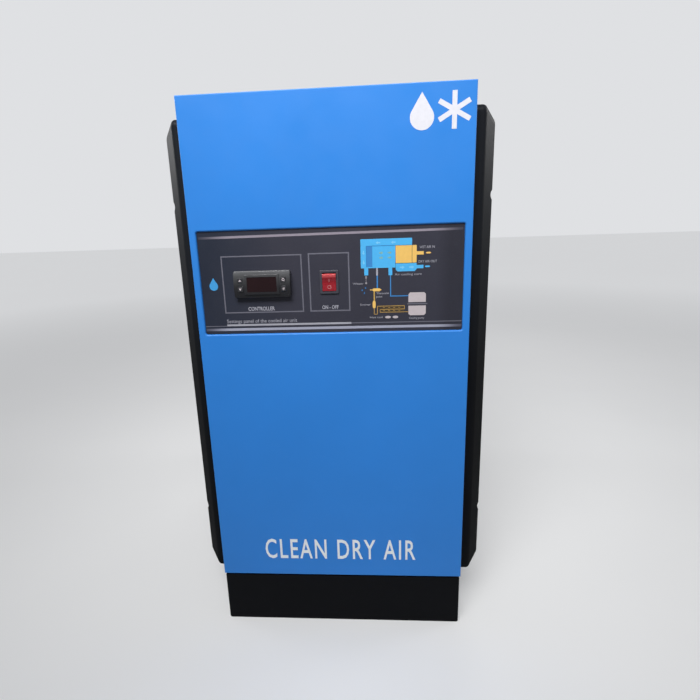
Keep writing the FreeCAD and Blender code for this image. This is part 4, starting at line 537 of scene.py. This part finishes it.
def slabs(name, outlines, front, thickness, material, body=CABINET):
    """Thin solids from outlines of (across, up) in millimetres. front is the y of their faces in metres."""
    shape = bmesh.new()
    for outline in outlines:
        ring = [shape.verts.new((x * MM, front, z * MM)) for x, z in outline]
        face = shape.faces.new(ring)
        face.normal_update()
        if face.normal.y > 0:
            face.normal_flip()
        grown = bmesh.ops.extrude_face_region(shape, geom=[face])
        back = [item for item in grown["geom"] if isinstance(item, bmesh.types.BMVert)]
        bmesh.ops.translate(shape, verts=back, vec=(0, thickness, 0))
    bmesh.ops.recalc_face_normals(shape, faces=shape.faces)
    mesh = bpy.data.meshes.new(name)
    shape.to_mesh(mesh)
    shape.free()
    return piece(name, mesh, material, body)


def lettering(name, text, x, z, cap_height, front, thickness, material, width=None, weight=0.0,
              align="LEFT", spacing=1.0):
    """Raised generic lettering. x, z is the baseline's start (or middle); width squeezes it to fit."""
    curve = bpy.data.curves.new(name, "FONT")
    curve.body = text
    curve.align_x = align
    curve.offset = weight
    curve.space_character = spacing
    curve.extrude = 0.5
    curve.resolution_u = 3
    drawn = bpy.data.objects.new(name, curve)
    bpy.context.scene.collection.objects.link(drawn)
    bpy.context.view_layer.update()
    mesh = bpy.data.meshes.new_from_object(drawn.evaluated_get(bpy.context.evaluated_depsgraph_get()))
    bpy.data.objects.remove(drawn)
    xs = [v.co.x for v in mesh.vertices]
    ys = [v.co.y for v in mesh.vertices]
    high = cap_height * MM / max(ys)
    wide = width * MM / (max(xs) - min(xs)) if width else high
    start = {"LEFT": min(xs), "CENTER": (min(xs) + max(xs)) / 2}[align]
    place = Matrix(((wide, 0, 0, x * MM - start * wide), (0, 0, -thickness, front + thickness / 2),
                    (0, high, 0, z * MM), (0, 0, 0, 1)))
    mesh.transform(place)
    mesh.name = name
    mesh.materials.clear()
    return piece(name, mesh, material)


# ---------------------------------------------------------------- printed control strip

FILM_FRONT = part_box("control_overlay")[0].y
INK_THICK = 0.00006


def printed(name, outlines, colour, layer=1):
    """Ink on the film. Each layer lies on the one below it."""
    return slabs(name, outlines, FILM_FRONT - layer * INK_THICK, INK_THICK, ink[colour])


def label(name, text, x, z, height, colour="light", width=None, align="CENTER", weight=0.0):
    """A caption printed on the film."""
    return lettering(name, text, x, z, height, FILM_FRONT - INK_THICK, INK_THICK, ink[colour],
                     width, weight, align)


def strip_lines():
    """The bands across the top and the bottom of the strip, and the boxes round the controls."""
    printed("strip_band_top", [bar((-178, 621.9), (178, 623.8), 3.1)], "band")
    printed("strip_band_low", [rounded_outline((-179.5, 179.5), (492.2, 495.8))], "band_low")
    printed("strip_line_low", [rounded_outline((27.8, 179.5), (499.6, 500.8)),
                               rounded_outline((-179.5, -148.6), (498.6, 499.6))], "dim")
    printed("strip_underline", [rounded_outline((-148.5, 27.8), (498.9, 501.6))], "light")
    printed("box_controller", border((-149.8, -37.7), (517.4, 597.1), 1.7), "dim")
    printed("box_switch", border((-28.9, 27.1), (517.4, 597.8), 1.8), "dim")
    printed("strip_drop", [drop(-162.8, 558.9, 17.6)], "drop")


def strip_labels():
    """The captions in the two frames and along the bottom of the strip."""
    label("label_controller", "CONTROLLER", -97.5, 520.6, 5.4, "light", 37.5, weight=0.022)
    label("label_switch", "ON - OFF", -0.7, 520.7, 5.2, "light", 22.8, weight=0.022)
    label("label_system", "Settings panel of the cooled air unit", -148.3, 503.4, 5.1, "light", 100, "LEFT")


def diagram_exchanger():
    """The exchanger of the flow diagram: cold air in blue, warm air in amber."""
    printed("flow_exchanger", [rounded_outline((42.6, 111.4), (604.8, 613.9), 1),
                               rounded_outline((42.6, 50.2), (575.3, 604.8)),
                               rounded_outline((50.2, 89.2), (575.3, 604.8))], "sky")
    printed("flow_exchanger_column", [rounded_outline((50.6, 58.3), (576.8, 604.2))], "blue", 2)
    printed("flow_exchanger_lines", [rounded_outline((50, 111.4), (604.4, 605)),
                                     rounded_outline((49.9, 50.5), (576.6, 604.4))], "deep", 3)
    return_block = [(89.6, 580.6), (89.6, 572.4), (92, 569.9), (115, 569.9), (117.5, 572.4), (117.5, 580.6)]
    return_tip = [(128.3, 575.7), (129.8, 576.8), (134.2, 576.8), (136, 575.7), (134.2, 574.6),
                  (129.8, 574.6)]
    printed("flow_return_block", [return_block, rounded_outline((117.5, 126.6), (573.4, 577.9)), return_tip],
            "sky")
    warm_tip = [(129.4, 593.8), (131, 594.9), (135.2, 594.9), (136.8, 593.8), (135.2, 592.7), (131, 592.7)]
    printed("flow_warm_block", [rounded_outline((89.6, 111.2), (581.2, 604.3)),
                                rounded_outline((111.7, 117.5), (581.2, 604.3), 1),
                                rounded_outline((117.5, 126.8), (591.6, 596)), warm_tip], "amber", 2)
    printed("flow_arrows_warm", [arrow(x, z, 5.2, 4.2, 0) for x in (70.3, 81.5) for z in (595.3, 588.8)],
            "mist", 2)
    ways = [arrow(x, 608.8, 6.2, 4, 180) for x in (66, 86.3)]
    ways += [arrow(46.5, z, 5.4, 3.6, -90) for z in (596, 583)]
    ways += [arrow(x, 575.3, 6.6, 4.6, 0) for x in (98.3, 111)]
    printed("flow_arrows_cold", ways, "ice", 2)


def diagram_refrigerant():
    """The refrigerant side of the flow diagram, from the exchanger round to the compressor."""
    printed("flow_legs", [rounded_outline((47.1, 52.5), (565.8, 575.3)),
                          rounded_outline((79.9, 85), (565.2, 575.3))], "sky")
    printed("flow_cold_pipe", [rounded_outline((63.2, 65.6), (565.2, 575.3))], "light")
    printed("flow_tap", [rounded_outline((48.4, 50.4), (561.2, 564.6), 0.6), disc(49.4, 555.2, 1.4),
                         rounded_outline((49.1, 49.7), (556.6, 561.2))], "grey")
    printed("flow_droplets", [drop(48.4, 548.9, 3), drop(43.8, 545.7, 2.7), drop(46.8, 542, 2.7)], "deep")
    printed("flow_return_pipe", [rounded_outline((63.7, 65.4), (548, 565.2)),
                                 rounded_outline((81.9, 83.2), (537.3, 565.2)),
                                 rounded_outline((81.9, 106.7), (536, 537.3))], "blue")
    capsule = [(57, 545.7), (59.4, 547.7), (67.4, 547.7), (70.4, 545.7), (67.4, 543.7), (59.4, 543.7)]
    printed("flow_valve", [capsule, rounded_outline((54.8, 57.6), (545.1, 546.3))], "amber")
    printed("flow_valve_stem", [rounded_outline((59.4, 61), (530.6, 543.7))], "gold")
    printed("flow_filter", [[(58.6, 520.2), (61.2, 520.2), (62, 523), (62, 528), (61.2, 530.6), (58.6, 530.6),
                             (57.8, 528), (57.8, 523)]], "amber")
    printed("flow_coil_ground", [rounded_outline((65.2, 101.2), (518.6, 522.4)),
                                 rounded_outline((68.6, 101.2), (515, 518.2))], "umber")
    coil = [(59.9, 520.2), (59.9, 511.9), (64.3, 511.9), (64.3, 523), (101.4, 523), (101.4, 518.4),
            (68, 518.4), (68, 514.4), (106.7, 514.4)]
    printed("flow_coil", line(coil, 0.75), "gold", 2)
    dashes = [bar((x, z), (x + 2.6, z), 0.5) for z in (520.8, 516.6) for x in (72, 79, 86, 93)]
    printed("flow_coil_dashes", dashes, "gold", 2)
    square_low = [(106.8, 527.6), (130.4, 527.6), (130.4, 538.6), (128, 541), (109.2, 541), (106.8, 538.6)]
    printed("flow_compressor", [square_low, [(x, 1050.3 - z) for x, z in square_low][::-1]], "pale")
    printed("flow_compressor_joint", [rounded_outline((105.3, 132.5), (524.6, 526))], "dim")
    printed("flow_fan", [disc(78.8, 507.4, 3.9, 1.8), disc(89, 507.4, 3.9, 1.8)], "pale")


def diagram_labels():
    """Generic captions of the diagram, as small as they are on such a strip."""
    captions = [
        ("air_in", "WET AIR IN", 131.2, 599.8, 3.3, 20),
        ("air_out", "DRY AIR OUT", 132.3, 580.8, 3.3, 24.4),
        ("exchanger", "Air cooling core", 106.3, 564.6, 2.9, 36),
        ("drain", "Water", 38.4, 553.4, 2.7, 14.6),
        ("valve", "Throttle", 71.5, 539.5, 2.6, 17),
        ("valve_low", "point", 67, 534.9, 2.6, 8.6),
        ("filter", "Strainer", 47.9, 524.3, 2.7, 14.4),
        ("condenser", "Hot coil", 62.6, 506.2, 2.6, 17.4),
        ("compressor", "Cooling pump", 118.1, 504.3, 2.7, 20.4),
    ]
    for name, text, x, z, height, width in captions:
        label("caption_" + name, text, x, z, height, "light", width)


strip_lines()
strip_labels()
diagram_exchanger()
diagram_refrigerant()
diagram_labels()

# ---------------------------------------------------------------- controller and switch

LENS_LOW, LENS_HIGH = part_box("controller_lens")


def read_out():
    """Three unlit seven-segment figures behind the smoked window."""
    dull = printed_ink("segment_off", srgb(64, 24, 26), 0.3)
    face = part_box("controller_board")[0].y
    middle_x = (LENS_LOW.x + LENS_HIGH.x) / 2 / MM
    middle_z = (LENS_LOW.z + LENS_HIGH.z) / 2 / MM
    high, wide, stroke = 11.0, 6.0, 1.15
    outlines = []
    for place in (-1, 0, 1):
        x = middle_x + place * 10.5
        for z in (-high / 2, 0, high / 2):
            outlines.append(bar((x - wide / 2 + 1, middle_z + z), (x + wide / 2 - 1, middle_z + z), stroke))
        for side in (-wide / 2, wide / 2):
            for low, top in ((-high / 2 + 0.7, -0.7), (0.7, high / 2 - 0.7)):
                outlines.append(bar((x + side, middle_z + low), (x + side, middle_z + top), stroke))
        outlines.append(disc(x + wide / 2 + 2, middle_z - high / 2, 0.7, steps=10))
    slabs("controller_segments", outlines, face - 0.0002, 0.0002, dull)


def key_symbols():
    """A plain symbol on each key, riding on that key."""
    mark = {
        "up": lambda x, z: [[(x - 1.9, z - 1.3), (x + 1.9, z - 1.3), (x, z + 1.7)]],
        "down": lambda x, z: [[(x - 1.9, z + 1.3), (x, z - 1.7), (x + 1.9, z + 1.3)]],
        "set": lambda x, z: border((x - 1.7, x + 1.7), (z - 1.7, z + 1.7), 0.8),
        "defrost": lambda x, z: [bar((x + 1.9 * math.cos(a), z + 1.9 * math.sin(a)),
                                     (x - 1.9 * math.cos(a), z - 1.9 * math.sin(a)), 0.6)
                                 for a in (math.radians(30), math.radians(90), math.radians(150))],
    }
    for name, draw in mark.items():
        low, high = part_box("controller_key_" + name)
        x, z = (low.x + high.x) / 2 / MM, (low.z + high.z) / 2 / MM
        slabs("key_symbol_" + name, draw(x, z), low.y - INK_THICK, INK_THICK * 2, ink["pale"],
              "key_" + name)


# Each face of the rocker runs from its dip to its bevelled end, as (depth, height) about its pivot.
ROCKER_BEVEL = Vector((-6.6, 7.6))
ROCKER_DIP = Vector((-5.3, 0.0))
ROCKER_TILT = math.radians(8)


def rocker_symbols():
    """The I and O of the switch, inlaid in the two slopes of the rocker."""
    pivot = Vector(joints["rocker_tilt"]["pos_m"])
    turn = Matrix.Rotation(ROCKER_TILT, 4, "X")
    run = ROCKER_BEVEL - ROCKER_DIP
    lean = math.atan2(-run.x, run.y)
    for name, side, share, outlines in (("on", 1, 0.42, [rounded_outline((-0.4, 0.4), (-2.3, 2.3), 0.25)]),
                                        ("off", -1, 0.78, ring(0, 0, 2.7, 2.0))):
        spot = (ROCKER_DIP + run * share) * MM
        made = slabs("rocker_symbol_" + name, outlines, -0.00004, 0.0002, ink["rose"], "rocker")
        made.data.transform(Matrix.Translation(pivot) @ turn @ Matrix.Translation((0, spot.x, side * spot.y))
                            @ Matrix.Rotation(side * lean, 4, "X"))


read_out()
key_symbols()
rocker_symbols()

# ---------------------------------------------------------------- markings on the panel

PANEL_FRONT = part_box("front_panel")[0].y
STENCIL_THICK = 0.00012


def panel_markings():
    """Generic white markings where such a machine carries its lettering and its badges."""
    face = PANEL_FRONT - STENCIL_THICK
    lettering("marking_name", "CLEAN DRY AIR", 0, 118.2, 35, face, STENCIL_THICK, ink["white"],
              238, 0.010, "CENTER", 1.19)
    slabs("marking_cold", [star(162.5, 767, 22, 6.0)], face, STENCIL_THICK, ink["chalk"])
    slabs("marking_drop", [drop(122.5, 767, 44)], face, STENCIL_THICK, ink["chalk"])


panel_markings()

# ---------------------------------------------------------------- stage, light and camera

CAMERA_PLACE = Vector((0.0544, -1.0204, 0.6445))
CAMERA_PITCH = 14.94
CAMERA_TURN = 4.25
CAMERA_ROLL = -2.04
CAMERA_LENS = 25.71
CAMERA_SHIFT = 0.0214
ROOM_LIGHT = (0.95, 0.97, 1.0, 1)
ROOM_STRENGTH = 0.27
BACKDROP = (0.74, 0.75, 0.77, 1)
FLOOR_GLOW = (0.97, 0.98, 1.0, 1)
FLOOR_REACH = 12


def floor():
    """A pale floor. Only the camera sees its glow, which grows with distance: it lights nothing."""
    made = Shader("floor")
    made.colour(made.mix(made.noise(1.5, 3), (0.56, 0.56, 0.56, 1), (0.62, 0.62, 0.62, 1)))
    made.roughness(made.spread(made.noise(4, 3), 0.7, 0.85))
    distance = made.add("ShaderNodeVectorMath", operation="LENGTH")
    made.link(made.place, distance.inputs[0])
    lift = made.add("ShaderNodeMapRange")
    for socket, value in (("From Min", 0.5), ("From Max", 4.0), ("To Min", 0.26), ("To Max", 0.50)):
        lift.inputs[socket].default_value = value
    made.link(distance.outputs["Value"], lift.inputs["Value"])
    seen = made.add("ShaderNodeMath", operation="MULTIPLY")
    made.link(made.add("ShaderNodeLightPath").outputs["Is Camera Ray"], seen.inputs[0])
    made.link(lift.outputs["Result"], seen.inputs[1])
    made.link(seen.outputs["Value"], made.principled.inputs["Emission Strength"])
    made.constant(Emission_Color=FLOOR_GLOW)
    shape = bmesh.new()
    bmesh.ops.create_grid(shape, x_segments=2, y_segments=2, size=FLOOR_REACH)
    mesh = bpy.data.meshes.new("floor")
    shape.to_mesh(mesh)
    shape.free()
    mesh.materials.append(made.material)
    ground = bpy.data.objects.new("floor", mesh)
    bpy.context.scene.collection.objects.link(ground)


def area_light(name, place, target, size, power, spread):
    """A rectangular soft light that faces its target, its beam narrowed to spread degrees."""
    data = bpy.data.lights.new(name, "AREA")
    data.shape = "RECTANGLE"
    data.size, data.size_y = size
    data.energy = power
    data.spread = math.radians(spread)
    lamp = bpy.data.objects.new(name, data)
    lamp.location = place
    lamp.rotation_euler = (Vector(target) - Vector(place)).to_track_quat("-Z", "Y").to_euler()
    bpy.context.scene.collection.objects.link(lamp)


def studio():
    """Soft light from a large source high in front, weaker ones aside and behind, and a pale room."""
    world = bpy.data.worlds.new("room")
    world.use_nodes = True
    background = world.node_tree.nodes["Background"]
    background.inputs["Color"].default_value = ROOM_LIGHT
    background.inputs["Strength"].default_value = ROOM_STRENGTH
    nodes = world.node_tree.nodes
    pale = nodes.new("ShaderNodeBackground")
    pale.inputs["Color"].default_value = BACKDROP
    seen = nodes.new("ShaderNodeLightPath")
    choice = nodes.new("ShaderNodeMixShader")
    link = world.node_tree.links.new
    link(seen.outputs["Is Camera Ray"], choice.inputs["Fac"])
    link(background.outputs["Background"], choice.inputs[1])
    link(pale.outputs["Background"], choice.inputs[2])
    link(choice.outputs["Shader"], nodes["World Output"].inputs["Surface"])
    bpy.context.scene.world = world
    area_light("key", (-0.2, -1.3, 1.85), (0, -0.34, 0.86), (1.1, 0.6), 6.3, 66)
    area_light("left", (-2.0, 0.5, 1.3), (-0.2, -0.1, 0.75), (0.8, 0.8), 1.4, 50)
    area_light("right", (2.0, 0.5, 1.4), (0.2, -0.1, 0.75), (0.8, 0.8), 1.6, 50)
    area_light("back", (0.4, 2.4, 1.9), (0, 0, 0.5), (1.6, 1.2), 5, 90)
    bpy.context.scene.view_settings.view_transform = "Standard"


def camera():
    """The one camera: close in front, tipped down, with a slight roll."""
    data = bpy.data.cameras.new("camera")
    data.lens = CAMERA_LENS
    data.shift_x = CAMERA_SHIFT
    made = bpy.data.objects.new("camera", data)
    turn = Matrix.Rotation(math.radians(CAMERA_TURN), 4, "Z")
    tip = Matrix.Rotation(math.radians(90 - CAMERA_PITCH), 4, "X")
    roll = Matrix.Rotation(math.radians(CAMERA_ROLL), 4, "Z")
    made.matrix_world = Matrix.Translation(CAMERA_PLACE) @ turn @ tip @ roll
    bpy.context.scene.collection.objects.link(made)
    bpy.context.scene.camera = made


floor()
studio()
camera()
